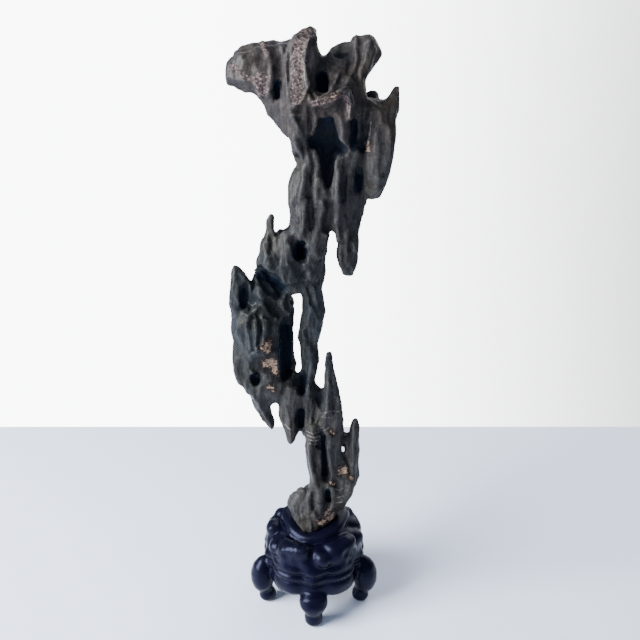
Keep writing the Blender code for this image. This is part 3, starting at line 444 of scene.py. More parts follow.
def averaged(mesh, values, times=1):
    """Each point's values as the mean of its neighbours', several times over."""
    ends = np.empty(len(mesh.edges) * 2, np.int32)
    mesh.edges.foreach_get("vertices", ends)
    one, two = ends[0::2], ends[1::2]
    count = len(mesh.vertices)
    near = np.maximum(np.bincount(one, minlength=count) + np.bincount(two, minlength=count), 1)
    values = values.reshape(count, -1)
    for _ in range(times):
        values = np.stack([(np.bincount(one, column[two], count)
                            + np.bincount(two, column[one], count)) / near
                           for column in values.T], axis=1)
    return values.squeeze()


def ramp(values, low, high):
    t = np.clip((values - low) / (high - low), 0, 1)
    return t * t * (3 - 2 * t)


def clearances(obj, co, normal, reach):
    """How far the solid goes on inwards, and how far the air goes on outwards."""
    tree = BVHTree.FromObject(obj, bpy.context.evaluated_depsgraph_get())
    found = np.full((len(co), 2), float(reach))
    for i, (point, out) in enumerate(zip(co * MM, normal)):
        point, out = Vector(point), Vector(out)
        for side, way in enumerate((-out, out)):
            hit = tree.ray_cast(point + way * 0.2 * MM, way, reach * MM)
            if hit[0] is not None:
                found[i, side] = hit[3] / MM
    return found[:, 0], found[:, 1]


def cells(co, size, stretch, seed, warp=0.5):
    """Distances to the nearest and second nearest cell centre, in cells."""
    found = np.empty((len(co), 2))
    for i, (x, y, z) in enumerate(co / (size, size, size * stretch)):
        point = Vector((x + seed, y, z))
        point += noise.noise_vector(point * 0.7) * warp
        found[i] = noise.voronoi(point)[0][:2]
    return found


def rough(co, size, seed, octaves=4):
    """Cloudy noise between about -1 and 1."""
    return np.array([noise.fractal(Vector((x + seed, y, z)), 0.9, 2.1, octaves)
                     for x, y, z in co / size])


# --- drawing on the front of a piece ---

def in_view(co):
    """Places in the view's frame, and the scale there in frame units per mm."""
    away = co - np.array(EYE)
    depth = away[:, 1] * math.cos(TILT) - away[:, 2] * math.sin(TILT)
    up = away[:, 1] * math.sin(TILT) + away[:, 2] * math.cos(TILT)
    half = VIEW_SIZE / 2
    return (half + VIEW_REACH * away[:, 0] / depth, half - VIEW_REACH * up / depth,
            VIEW_REACH / depth)


def faces_view(obj, co, normal):
    """Points of the surface that nothing hides from the eye."""
    tree = BVHTree.FromObject(obj, bpy.context.evaluated_depsgraph_get())
    eye = Vector(EYE) * MM
    seen = np.zeros(len(co), bool)
    for i, (point, out) in enumerate(zip(co * MM, normal)):
        start = Vector(point) + Vector(out) * 0.8 * MM
        way = eye - start
        if way.dot(Vector(out)) > 0:
            seen[i] = tree.ray_cast(start, way.normalized(), 0.3)[0] is None
    return seen


def from_line(u, v, line):
    """Distance of every place in the frame from a line through the given points."""
    best = np.full(len(u), 1e9)
    for (u0, v0), (u1, v1) in zip(line, line[1:]):
        du, dv = u1 - u0, v1 - v0
        t = np.clip(((u - u0) * du + (v - v0) * dv) / (du * du + dv * dv), 0, 1)
        best = np.minimum(best, np.hypot(u - u0 - t * du, v - v0 - t * dv))
    return best


def inside(u, v, corners):
    found = np.zeros(len(u), bool)
    for (u0, v0), (u1, v1) in zip(corners, corners[1:] + corners[:1]):
        if v0 != v1:
            crosses = (v0 > v) != (v1 > v)
            found ^= crosses & (u < (u1 - u0) * (v - v0) / (v1 - v0) + u0)
    return found


# --- building bodies ---

def loft(bm, stations, sides, flutes=0.0, phase=0.0):
    """A closed body through rings that stand square to the row of stations."""
    points = [Vector(s[:3]) * MM for s in stations]
    depth_axis = Vector((0, 1, 0))
    rings = []
    for i, station in enumerate(stations):
        ahead = points[min(i + 1, len(points) - 1)]
        behind = points[max(i - 1, 0)]
        along = (ahead - behind).normalized()
        across = depth_axis.cross(along).normalized()
        depth = along.cross(across)
        place = Matrix((across * station[3] * MM, depth * station[4] * MM, along)).transposed()
        place = Matrix.Translation(points[i]) @ place.to_4x4()
        ring = bmesh.ops.create_circle(bm, radius=1, segments=sides, cap_ends=False,
                                       matrix=place)["verts"]
        for k, vert in enumerate(ring):
            swell = 1 + flutes * math.cos(FLUTE_COUNT * 2 * math.pi * k / sides + phase + i * 0.6)
            vert.co = points[i] + (vert.co - points[i]) * swell
        rings.append(ring)

    def edges_of(ring):
        return [edge for edge in bm.edges if all(vert in ring for vert in edge.verts)]

    for low, high in zip(rings, rings[1:]):
        bmesh.ops.bridge_loops(bm, edges=edges_of(low) + edges_of(high))
    for ring in (rings[0], rings[-1]):
        bmesh.ops.contextual_create(bm, geom=edges_of(ring))


def close_round(bm):
    """Leaves the tightest convex skin round the points."""
    hull = bmesh.ops.convex_hull(bm, input=bm.verts)
    spare = dict.fromkeys(item for item in hull["geom_interior"] + hull["geom_unused"]
                          if isinstance(item, bmesh.types.BMVert))
    bmesh.ops.delete(bm, geom=list(spare), context="VERTS")
    bmesh.ops.triangulate(bm, faces=bm.faces)
    bmesh.ops.recalc_face_normals(bm, faces=bm.faces)


def pour(part, whole):
    """Adds one body to the others."""
    bmesh.ops.recalc_face_normals(part, faces=part.faces)
    mesh = bpy.data.meshes.new("part")
    part.to_mesh(mesh)
    part.free()
    whole.from_mesh(mesh)
    bpy.data.meshes.remove(mesh)


def new_object(name, bm):
    bmesh.ops.recalc_face_normals(bm, faces=bm.faces)
    mesh = bpy.data.meshes.new(name)
    bm.to_mesh(mesh)
    bm.free()
    obj = bpy.data.objects.new(name, mesh)
    bpy.context.scene.collection.objects.link(obj)
    return obj


def lofted(name, table, sides, flutes=0.0):
    """Every row of the table as its own closed body, in one mesh."""
    whole = bmesh.new()
    for number, stations in enumerate(table.values()):
        part = bmesh.new()
        loft(part, stations, sides, flutes, phase=number * 1.3)
        pour(part, whole)
    place = Vector((*STONE_AT, 0)) * MM
    bmesh.ops.translate(whole, vec=place, verts=whole.verts)
    return new_object(name, whole)


def settle(obj):
    """Makes the modifiers' result the object's own mesh."""
    bpy.context.view_layer.update()
    done = bpy.data.meshes.new_from_object(obj.evaluated_get(
        bpy.context.evaluated_depsgraph_get()))
    obj.modifiers.clear()
    old = obj.data
    obj.data = done
    done.name = obj.name
    bpy.data.meshes.remove(old)


def put_in_order(obj):
    """The same points and faces in an order that is the same in each run."""
    mesh = obj.data
    co = points_of(mesh)
    order = np.lexsort(co.T)
    place = np.empty(len(co), int)
    place[order] = np.arange(len(co))
    faces = []
    for polygon in mesh.polygons:
        ring = place[list(polygon.vertices)].tolist()
        start = ring.index(min(ring))
        faces.append(ring[start:] + ring[:start])
    mesh.clear_geometry()
    mesh.from_pydata((co[order] * MM).tolist(), [], sorted(faces))


def fuse(obj, grid):
    """One skin over everything in the mesh."""
    put_in_order(obj)
    modifier = obj.modifiers.new("fuse", "REMESH")
    modifier.mode = "VOXEL"
    modifier.voxel_size = grid * MM
    settle(obj)


def combine(obj, other, operation):
    modifier = obj.modifiers.new("combine", "BOOLEAN")
    modifier.operation = operation
    modifier.object = other
    settle(obj)
    put_in_order(obj)
    bpy.data.objects.remove(other)


def wear(obj, times, factor=0.5):
    modifier = obj.modifiers.new("wear", "SMOOTH")
    modifier.factor = factor
    modifier.iterations = times
    settle(obj)


def thin_out(obj, most):
    """Fewer triangles, kept where the shape turns."""
    triangles = sum(len(p.vertices) - 2 for p in obj.data.polygons)
    if triangles > most:
        modifier = obj.modifiers.new("thin", "DECIMATE")
        modifier.ratio = most / triangles
        settle(obj)


def keep_largest(obj):
    """Only the largest connected body, without crumbs cut off on the way."""
    bm = bmesh.new()
    bm.from_mesh(obj.data)
    met, bodies = set(), []
    for first in bm.verts:
        if first in met:
            continue
        met.add(first)
        body = [first]
        for vert in body:
            for link in vert.link_edges:
                other = link.other_vert(vert)
                if other not in met:
                    met.add(other)
                    body.append(other)
        bodies.append(body)
    bodies.sort(key=len)
    for body in bodies[:-1]:
        bmesh.ops.delete(bm, geom=body, context="VERTS")
    bm.to_mesh(obj.data)
    bm.free()


def note(mesh, name, values):
    """Keeps a value for each point, for the material to read."""
    layer = mesh.attributes.new(name, "FLOAT", "POINT")
    layer.data.foreach_set("value", np.asarray(values, np.float32))


def openness(obj, co, normal, reach, rays=14):
    """Share of the sky that each point sees within reach."""
    tree = BVHTree.FromObject(obj, bpy.context.evaluated_depsgraph_get())
    turns = [(math.acos(1 - (k + 0.5) / rays * 0.94), k * 2.399963) for k in range(rays)]
    ways = [Vector((math.sin(a) * math.cos(b), math.sin(a) * math.sin(b), math.cos(a)))
            for a, b in turns]
    found = np.empty(len(co))
    for i, (point, out) in enumerate(zip(co * MM, normal)):
        out = Vector(out)
        start = Vector(point) + out * 0.3 * MM
        turn = out.to_track_quat("Z", "Y")
        found[i] = sum(tree.ray_cast(start, turn @ way, reach * MM)[0] is None for way in ways)
    return found / rays


# --- the stone ---

def calm(co):
    """1 on the hanging lobe, which is ground smooth, falling to 0 round it."""
    off = (co - (STONE_AT[0] + 54, STONE_AT[1] - 5, 424)) / (17, 22, 42)
    return 1 - ramp(np.linalg.norm(off, axis=1), 0.7, 1.05)


def carve_scoops(obj, amount):
    """Hollows that meet in sharp crests, longer up the stone than across it."""
    mesh = obj.data
    co, normal = points_of(mesh), normals_of(mesh)
    inwards, outwards = clearances(obj, co, normal, 30)
    inwards = np.minimum(inwards, averaged(mesh, inwards, 8))
    out = averaged(mesh, normal, 3)
    out /= np.maximum(np.linalg.norm(out, axis=1, keepdims=True), 1e-6)
    move = np.zeros(len(co))
    for low, high, size, stretch, depth, seed in SCOOPS:
        share = ramp(co[:, 2], low - 10, low + 10) * (1 - ramp(co[:, 2], high - 10, high + 10))
        here = share > 0
        near = cells(co[here], size, stretch, seed)
        bowl = np.minimum(near[:, 0], 0.85) ** 2 / 0.5
        move[here] += share[here] * depth * amount * (bowl - 0.55)
    move *= 0.65 + 0.5 * ramp(rough(co, 40, 4.4, 2), -0.4, 0.5)
    move *= 1 - 0.75 * calm(co)
    move = np.clip(move, -0.22 * inwards, 0.3 * outwards)
    set_points(mesh, co + out * averaged(mesh, move, 1)[:, None])


def draw_front(obj, amount):
    """The named crests, grooves and broken planes of the front."""
    mesh = obj.data
    co, normal = points_of(mesh), normals_of(mesh)
    inwards, _ = clearances(obj, co, normal, 30)
    seen = faces_view(obj, co, normal)
    u, v, scale = in_view(co)
    for level, corners in PLANES.values():
        flat = seen & inside(u, v, corners)
        if flat.sum() < 12:
            continue
        middle = co[flat].mean(0)
        across = np.linalg.svd(co[flat] - middle, full_matrices=False)[2][2]
        co[flat] -= np.outer((co[flat] - middle) @ across, across) * level
    move = np.zeros(len(co))
    for width, height, *lines in CRESTS.values():
        for line in lines:
            off = from_line(u, v, line) / scale / width
            move = np.maximum(move, height * np.clip(1 - off, 0, 1) * seen)
    for width, depth, *lines in GROOVES.values():
        for line in lines:
            off = from_line(u, v, line) / scale / width
            move -= depth * np.clip(1 - off * off, 0, 1) * seen
    move = np.maximum(move * amount, -0.45 * inwards)
    set_points(mesh, co + normal * move[:, None])


def roughen(obj, fine):
    """Small scoops, then grain."""
    mesh = obj.data
    co, normal = points_of(mesh), normals_of(mesh)
    inwards, outwards = clearances(obj, co, normal, 12)
    near = cells(co, 4.6, 2.4, 6.1, 0.7)
    small = (np.minimum(near[:, 0], 0.85) ** 2 / 0.5 - 0.5) * 0.5
    move = small * (0.5 + 0.7 * ramp(rough(co, 24, 2.2, 2), -0.3, 0.4))
    move += rough(co * (1, 1, 0.4), 3.2, 8.8, 4) * 0.1
    move *= (1 - 0.6 * calm(co)) * (1.6 - 0.6 * ramp(co[:, 2], 330, 430))
    move = np.clip(move * fine, -0.2 * inwards, 0.25 * outwards)
    set_points(mesh, co + normal * move[:, None])


def mark_stone(obj):
    """Values for the material: crests, deep places and drawn recesses for painted shade, pitted
    crust, chips and veins.
    """
    mesh = obj.data
    co, normal = points_of(mesh), normals_of(mesh)
    bend = ((co - averaged(mesh, co, 1)) * normal).sum(1)
    wide = ((co - averaged(mesh, co, 6)) * normal).sum(1)
    note(mesh, "crest", np.clip(0.5 + averaged(mesh, bend, 1) * 1.8 + wide * 0.3, 0, 1))
    sky = openness(obj, co, normal, 45)
    note(mesh, "deep", 1 - averaged(mesh, sky, 2))
    seen = faces_view(obj, co, normal)
    u, v, scale = in_view(co)

    def drawn(lines, within):
        """Full along the lines, fading out at so many radii from them."""
        return np.max([np.clip(within - from_line(u, v, line) / radius, 0, 1)
                       for radius, line in lines], axis=0)

    for name, patches in (("crust", CRUST), ("chip", CHIPS)):
        size, start, base = FAR_SIDE[name]
        beyond = ramp(rough(co, size, 6.6, 3), start, start + 0.5)
        beyond *= ramp(co[:, 2], base, base + 30)
        note(mesh, name, averaged(mesh, np.where(seen, drawn(patches, 1.5), beyond), 2))
    note(mesh, "shade", averaged(mesh, drawn(SHADES, 1.5) * seen, 1))
    note(mesh, "vein", drawn([(VEIN_WIDTH * scale, line) for line in VEINS], 1) * seen)


def add_foot(stone):
    """The broken faces of the foot, as a solid between their corners."""
    whole, foot = bmesh.new(), bmesh.new()
    whole.from_mesh(stone.data)
    for corner in FOOT_CORNERS:
        foot.verts.new((Vector(corner) + Vector((*STONE_AT, 0))) * MM)
    close_round(foot)
    pour(foot, whole)
    whole.to_mesh(stone.data)
    whole.free()


def finished(obj, box, mark, material):
    """Keeps the piece in its box and gives it its values and its material."""
    low, high = [np.array(corner) / MM for corner in box]
    set_points(obj.data, np.clip(points_of(obj.data), low, high))
    obj.data.shade_smooth()
    mark(obj)
    obj.data.materials.clear()
    obj.data.materials.append(material)
    return obj


def build_stone(settings):
    noise.seed_set(WARP_SEED)
    grid = settings.grid / MM * 1.0
    stone = lofted("scholars_stone", LIMBS, LIMB_SIDES, FLUTE_DEPTH)
    add_foot(stone)
    fuse(stone, FIRST_GRID)
    hollows = lofted("hollows", HOLLOWS, HOLLOW_SIDES)
    fuse(hollows, FIRST_GRID)
    combine(stone, hollows, "DIFFERENCE")
    fuse(stone, grid * 1.2)
    keep_largest(stone)
    wear(stone, 1)
    thin_out(stone, settings.facets)
    fuse(stone, grid * 1.1)
    carve_scoops(stone, settings.scoops)
    draw_front(stone, settings.crests)
    fuse(stone, grid)
    keep_largest(stone)
    roughen(stone, settings.grain)
    thin_out(stone, settings.triangles)
    return finished(stone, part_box("rock"), mark_stone, stone_material(settings))


# --- the stand ---

def rim_height(angle):
    """Crest of the collar: lowest in front, where the stone comes forward."""
    front = 0.5 * (1 + math.cos(angle - FRONT - RIM_LOW_AT))
    return RIM_BACK + (RIM_FRONT - RIM_BACK) * front ** 3.5


def body_place(section, angle):
    """Sharp corners over the feet, soft lobes between them."""
    low, corner, lobe, corner_z, lobe_z = section
    away = abs(math.sin(LOBES * (angle - FRONT) / 2))
    radius = low + (corner - low) * max(0, 1 - away / 0.6) + (lobe - low) * ramp(away, 0.5, 1)
    return (radius * math.cos(angle), radius * math.sin(angle),
            corner_z + (lobe_z - corner_z) * away)


def collar_place(grow, drop, angle):
    wide = COLLAR_A * (1 + COLLAR_WIDER * float(ramp(math.sin(angle), -0.4, 0.5)))
    return (COLLAR_X + (wide + grow) * math.cos(angle),
            COLLAR_Y + (COLLAR_B + grow) * math.sin(angle), rim_height(angle) - drop)


def build_drum():
    """A plain drum turned from a straight edge, then drawn out to the carved section."""
    tube = COLLAR_TUBE
    collar = [(tube * 0.9, tube * 1.5), (tube, tube), (tube * 0.85, tube * 0.5),
              (tube * 0.45, tube * 0.12), (0, 0),
              (-tube * 0.5, tube * 0.06), (-tube, tube * 0.14)]
    rows = len(BODY) + len(collar) + 1
    bm = bmesh.new()
    edge = [bm.verts.new((1, 0, row)) for row in range(rows)]
    links = [bm.edges.new(pair) for pair in zip(edge, edge[1:])]
    bmesh.ops.spin(bm, geom=edge + links, cent=(0, 0, 0), axis=(0, 0, 1),
                   angle=2 * math.pi, steps=TURN_STEPS, use_merge=True)
    for row in (0, rows - 1):
        loop = [e for e in bm.edges if all(round(v.co.z) == row for v in e.verts)]
        bmesh.ops.contextual_create(bm, geom=loop)
    for vert in bm.verts:
        row, angle = round(vert.co.z), math.atan2(vert.co.y, vert.co.x)
        if row < len(BODY):
            place = body_place(BODY[row], angle)
        elif row < rows - 1:
            place = collar_place(*collar[row - len(BODY)], angle)
        else:
            place = collar_place(-DISH_IN, DISH_DOWN, angle)
        vert.co = (Vector(place) + Vector((*STAND_AT, 0))) * MM
    return new_object("carved_stand", bm)


def add_feet_and_bosses(stand):
    whole = bmesh.new()
    whole.from_mesh(stand.data)
    middle = Vector((*STAND_AT, 0)) * MM
    for k in range(LOBES):
        foot = bmesh.new()
        profile = FOOT if k else FRONT_FOOT
        loft(foot, [(0, -r, z, across, out) for z, r, across, out in profile], FOOT_SIDES)
        turn = 2 * math.pi * k / LOBES + math.radians(FOOT_BACK.get(k, 0))
        turn = Matrix.Translation(middle) @ Matrix.Rotation(turn, 4, "Z")
        bmesh.ops.transform(foot, matrix=turn, verts=foot.verts)
        pour(foot, whole)
    middle_lobe = math.degrees(FRONT) + 180 / LOBES
    bosses = [(middle_lobe + 360 * k / LOBES + turn, *rest)
              for k in range(LOBES) for turn, *rest in BOSSES]
    for turn, radius, height, size in bosses + SHOULDERS:
        angle = math.radians(turn)
        place = Vector((radius * math.cos(angle), radius * math.sin(angle), height))
        bmesh.ops.create_uvsphere(whole, u_segments=24, v_segments=16, radius=size * MM,
                                  matrix=Matrix.Translation(middle + place * MM))
    whole.to_mesh(stand.data)
    whole.free()


def carve_stand(stand, depth):
    """Soft dents between the bosses."""
    mesh = stand.data
    co, normal = points_of(mesh), normals_of(mesh)
    x, y, z = (co - (*STAND_AT, 0)).T
    angle = np.degrees(np.arctan2(y, x)) + 90
    radius = np.hypot(x, y)
    move = np.zeros(len(co))
    for k in range(LOBES):
        turn = (angle - 360 * (k + 0.5) / LOBES + 180) % 360 - 180
        for at, height, across, up, deep in DENTS:
            off = np.hypot((turn - at) * ROUND / across, (z - height) / up)
            move -= deep * np.clip(1 - off * off, 0, 1) ** 1.5
        for across, up, line in FOLDS:
            points = [(at * ROUND, height) for at, height in line]
            off = from_line(turn * ROUND, z, points) / across
            move += up * np.clip(1 - off * off, 0, 1) ** 1.5
    move *= ramp(radius, 28, 34) * depth
    set_points(mesh, co + normal * move[:, None])


def soften(obj, times):
    """Rounds the carving, most of all above the ledges."""
    mesh = obj.data
    co = points_of(mesh)
    x, y = (co[:, :2] - STAND_AT - (COLLAR_X, COLLAR_Y)).T
    collar = 1 - ramp(np.hypot(x / (COLLAR_A + COLLAR_TUBE), y / (COLLAR_B + COLLAR_TUBE)),
                      1.0, 1.12 + COLLAR_WIDER)
    share = (0.22 + 0.43 * ramp(co[:, 2], 50, 57) * (1 - 0.7 * collar))[:, None]
    for _ in range(times):
        co += (averaged(mesh, co) - co) * share
    set_points(mesh, co)


def socket_cutter(stone):
    """The stone's foot made convex and grown by the fit gap."""
    bm = bmesh.new()
    for vert in stone.data.vertices:
        if vert.co.z < SOCKET_TOP * MM:
            bm.verts.new(vert.co)
    close_round(bm)
    cutter = new_object("socket", bm)
    grow = cutter.modifiers.new("gap", "DISPLACE")
    grow.mid_level = 0
    grow.strength = FIT_GAP * MM
    settle(cutter)
    return cutter


def mark_stand(obj):
    mesh = obj.data
    co, normal = points_of(mesh), normals_of(mesh)
    wide = ((co - averaged(mesh, co, 8)) * normal).sum(1)
    note(mesh, "rub", np.clip(0.5 + averaged(mesh, wide, 2) * 1.2, 0, 1))
    note(mesh, "deep", 1 - averaged(mesh, openness(obj, co, normal, 25), 2))


def build_stand(stone, settings):
    stand = build_drum()
    add_feet_and_bosses(stand)
    grid = settings.grid / MM * 1.0
    fuse(stand, grid)
    soften(stand, 13)
    carve_stand(stand, settings.dents)
    soften(stand, 8)
    combine(stand, socket_cutter(stone), "DIFFERENCE")
    keep_largest(stand)
    return finished(stand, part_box("stand"), mark_stand, wood_material(settings))


# --- materials ---

# fixed tones of the stone, then of the wood
FIBRE_DARK, FIBRE_LIGHT = (0.004, 0.0046, 0.0058), (0.042, 0.039, 0.035)
CRUST_PIT, CRUST_FLECK = (0.010, 0.0098, 0.0105), (0.42, 0.39, 0.38)
CHIP_DARK, CHIP_STAIN = (0.06, 0.036, 0.026), (0.014, 0.0095, 0.008)
VEIN_TONE, STONE_GLEAM = (0.28, 0.26, 0.23), (1, 0.95, 0.88, 1)
# painted shade: bluish for shallow and navy for deep places, and a darker painted shade in the
# recesses of the front
SHALLOW_PAINTED_SHADE, DEEP_PAINTED_SHADE, RECESS_PAINTED_SHADE = (0.022, 0.029, 0.04), (0.017, 0.034, 0.07), (0.004, 0.0078, 0.0145)
# dust on the wood; then painted shade for its creases and recesses; then the tint of its
# reflections
DUST, WOOD_PAINTED_SHADE, WOOD_GLEAM = (0.06, 0.06, 0.065), (0.0008, 0.0008, 0.0014), (0.58, 0.62, 1.0, 1)


def add(tree, kind, settings=None, **inputs):
    """A node of that kind, its settings and its inputs, which are values or sockets."""
    item = tree.nodes.new("ShaderNode" + kind)
    for key, value in (settings or {}).items():
        setattr(item, key, value)
    for key, value in inputs.items():
        socket = item.inputs[int(key[1:])] if key[1:].isdigit() else item.inputs[
            key.replace("_", " ")]
        if isinstance(value, bpy.types.NodeSocket):
            tree.links.new(value, socket)
        else:
            socket.default_value = value
    return item


def noise_field(tree, where, scale, detail=4.0, rough_=0.55, warp=0.0):
    return add(tree, "TexNoise", Vector=where, Scale=scale, Detail=detail, Roughness=rough_,
               Distortion=warp).outputs["Fac"]


def between(tree, value, low, high, least=0.0, most=1.0):
    return add(tree, "MapRange", {"interpolation_type": "SMOOTHSTEP"}, Value=value,
               From_Min=low, From_Max=high, To_Min=least, To_Max=most).outputs["Result"]


def maths(tree, operation, one, two, clamp=False):
    return add(tree, "Math", {"operation": operation, "use_clamp": clamp},
               i0=one, i1=two).outputs[0]


def product(tree, one, two, clamp=False):
    return maths(tree, "MULTIPLY", one, two, clamp)


def total(tree, one, two):
    return maths(tree, "ADD", one, two)


def torn(tree, name, cloud, strength, low, high, most=1.0):
    """A drawn patch with its edge torn by noise."""
    edge = product(tree, maths(tree, "SUBTRACT", cloud, 0.5), strength)
    return between(tree, total(tree, value_of(tree, name), edge), low, high, 0.0, most)


def tint(tree, factor, one, two, blend="MIX"):
    mix = tree.nodes.new("ShaderNodeMix")
    mix.data_type = "RGBA"
    mix.blend_type = blend
    mix.clamp_result = False
    for index, value in ((0, factor), (6, one), (7, two)):
        if isinstance(value, bpy.types.NodeSocket):
            tree.links.new(value, mix.inputs[index])
        else:
            mix.inputs[index].default_value = value if index == 0 else (*value, 1)
    return mix.outputs[2]


def value_of(tree, name):
    return add(tree, "Attribute", {"attribute_name": name}).outputs["Fac"]


def feed(tree, shader, name, socket):
    tree.links.new(socket, shader.inputs[name])


def new_material(name):
    mat = bpy.data.materials.new(name)
    mat.use_nodes = True
    tree = mat.node_tree
    return mat, tree, tree.nodes["Principled BSDF"]


def stone_material(settings):
    """Dark limestone: polished scoops, pale worn crests, pitted crust, tan breaks, veins, with
    painted shade in its recesses, a painted darker middle and a painted lighter head.
    """
    mat, tree, shader = new_material("dark_limestone")
    where = add(tree, "TexCoord").outputs["Object"]
    upright = add(tree, "Mapping", Vector=where, Scale=(1, 1, 0.22)).outputs["Vector"]
    broad = noise_field(tree, where, 26, 4)
    cloud = noise_field(tree, where, 110, 6, 0.62)
    fine = noise_field(tree, where, 620, 5, 0.6)
    fibre = noise_field(tree, upright, 420, 5, 0.6, 0.4)
    drift = noise_field(tree, upright, 170, 3, 0.5, 0.6)
    lines = between(tree, maths(tree, "ABSOLUTE", maths(tree, "SUBTRACT", drift, 0.5), 0),
                    0.035, 0.0)
    crest, deep = value_of(tree, "crest"), value_of(tree, "deep")

    colour = tint(tree, between(tree, cloud, 0.36, 0.66), settings.dark, settings.light)
    colour = tint(tree, between(tree, broad, 0.42, 0.64, 0.0, 0.75), colour, settings.earth)
    # Painted shade on the middle band, darker and cooler, and painted light on the head, lighter
    # and warmer.
    height = add(tree, "SeparateXYZ", Vector=where).outputs["Z"]
    middle = product(tree, between(tree, height, 0.19, 0.25), between(tree, height, 0.37, 0.32))
    colour = tint(tree, middle, colour, settings.middle_painted_shade, "MULTIPLY")
    colour = tint(tree, between(tree, height, 0.40, 0.46), colour, settings.head_painted_light, "MULTIPLY")
    colour = tint(tree, between(tree, fibre, 0.38, 0.56, 0.5, 0.0), colour, FIBRE_DARK)
    colour = tint(tree, between(tree, fibre, 0.54, 0.68, 0.0, 0.4), colour, FIBRE_LIGHT)
    edge = product(tree, between(tree, crest, 0.56, 0.95), between(tree, fine, 0.3, 0.6))
    edge = total(tree, edge, product(tree, lines, between(tree, fine, 0.4, 0.7)))
    colour = tint(tree, product(tree, edge, 0.36, True), colour, settings.worn)

    crust = torn(tree, "crust", cloud, 1.3, 0.45, 0.8)
    pitted = noise_field(tree, where, 520, 4, 0.7)
    crusted = tint(tree, between(tree, pitted, 0.42, 0.56), CRUST_PIT, settings.crust)
    crusted = tint(tree, between(tree, pitted, 0.60, 0.70), crusted, CRUST_FLECK)
    colour = tint(tree, product(tree, crust, 0.72), colour, crusted)

    layered = add(tree, "Mapping", Vector=where, Scale=(1, 1, 2)).outputs["Vector"]
    grit = noise_field(tree, layered, 230, 5, 0.6)
    chip = torn(tree, "chip", grit, 1.7, 0.76, 0.84)
    flake = noise_field(tree, layered, 700, 4, 0.6)
    chipped = tint(tree, between(tree, flake, 0.4, 0.58), CHIP_DARK, settings.chip)
    stain = torn(tree, "chip", grit, 1.7, 0.0, 0.4, 0.88)
    colour = tint(tree, stain, colour, CHIP_STAIN)
    colour = tint(tree, chip, colour, chipped)
    vein = torn(tree, "vein", fine, 0.35, 0.78, 0.94)
    colour = tint(tree, product(tree, vein, 0.32), colour, VEIN_TONE)
    # Painted shade: the colour turns bluish in shallow recesses and navy in deep ones, where shade
    # falls.
    colour = tint(tree, between(tree, deep, 0.35, 0.85, 0.0, 0.6), colour, SHALLOW_PAINTED_SHADE)
    colour = tint(tree, between(tree, deep, 0.76, 0.95), colour, DEEP_PAINTED_SHADE)
    # Painted shade: the drawn recess patches of the front are darkened further.
    shade = between(tree, value_of(tree, "shade"), 0.35, 0.75, 0.0, 0.82)
    colour = tint(tree, shade, colour, RECESS_PAINTED_SHADE)
    feed(tree, shader, "Base Color", colour)

    polish = product(tree, between(tree, deep, 0.25, 0.8, settings.gloss, 0.06),
                     maths(tree, "SUBTRACT", 1, shade))
    feed(tree, shader, "Specular IOR Level", polish)
    shader.inputs["Specular Tint"].default_value = STONE_GLEAM
    gloss = between(tree, cloud, 0.3, 0.7, 0.27, 0.44)
    gloss = add(tree, "Mix", i0=crust, i2=gloss, i3=0.62).outputs[0]
    gloss = add(tree, "Mix", i0=deep, i2=gloss, i3=0.75).outputs[0]
    feed(tree, shader, "Roughness", gloss)

    height = total(tree, product(tree, fine, 0.35), product(tree, fibre, 0.4))
    height = total(tree, height, product(tree, lines, 0.35))
    hole = product(tree, between(tree, pitted, 0.35, 0.6), crust)
    height = total(tree, height, hole)
    bump = add(tree, "Bump", Height=height, Strength=0.35, Distance=0.0005)
    feed(tree, shader, "Normal", bump.outputs[0])
    return mat


def wood_material(settings):
    """Black lacquered wood, rubbed a little on what stands proud, with fine grain."""
    mat, tree, shader = new_material("black_lacquered_wood")
    where = add(tree, "TexCoord").outputs["Object"]
    along = add(tree, "Mapping", Vector=where, Scale=(1, 0.12, 1)).outputs["Vector"]
    cloud = noise_field(tree, where, 60, 4)
    grain = noise_field(tree, along, 520, 5, 0.6, 0.6)
    dust = noise_field(tree, where, 1500, 3, 0.7)
    rub = between(tree, value_of(tree, "rub"), 0.55, 0.95)
    colour = tint(tree, between(tree, cloud, 0.35, 0.65), settings.lacquer, settings.sheen)
    colour = tint(tree, product(tree, rub, 0.5), colour, settings.rubbed)
    colour = tint(tree, between(tree, dust, 0.66, 0.78, 0.0, 0.25), colour, DUST)
    # Painted shade: the lacquer darkened towards black in creases and recesses.
    colour = tint(tree, between(tree, value_of(tree, "deep"), 0.4, 0.9, 0.0, 0.7), colour,
                  WOOD_PAINTED_SHADE)
    feed(tree, shader, "Base Color", colour)
    tree.links.new(between(tree, value_of(tree, "deep"), 0.35, 0.75, settings.gloss, 0.0),
                   shader.inputs["Specular IOR Level"])
    shader.inputs["Specular Tint"].default_value = WOOD_GLEAM
    gloss = add(tree, "Mix", i0=cloud, i2=0.21, i3=0.35).outputs[0]
    feed(tree, shader, "Roughness", gloss)
    height = total(tree, product(tree, grain, 0.7), product(tree, cloud, 0.6))
    bump = add(tree, "Bump", Height=height, Strength=0.35, Distance=0.0004)
    feed(tree, shader, "Normal", bump.outputs[0])
    return mat


# --- floor, light and camera ---

# lights, in metres: place, size, share of the main light's power, colour
LIGHTS = {"window": ((-1.15, -0.52, 0.85), (0.9, 1.1), 1.0, (0.9, 0.95, 1.0)),
          "far_fill": ((0.9, 0.9, 0.9), (1.2, 1.2), 0.09, (1.0, 0.93, 0.85)),
          "back_fill": ((0.3, 1.3, 0.9), (1.5, 1.5), 0.1, (0.95, 0.97, 1.0))}
LIGHT_AIM = (0, 0, 0.27)        # the middle of the stone


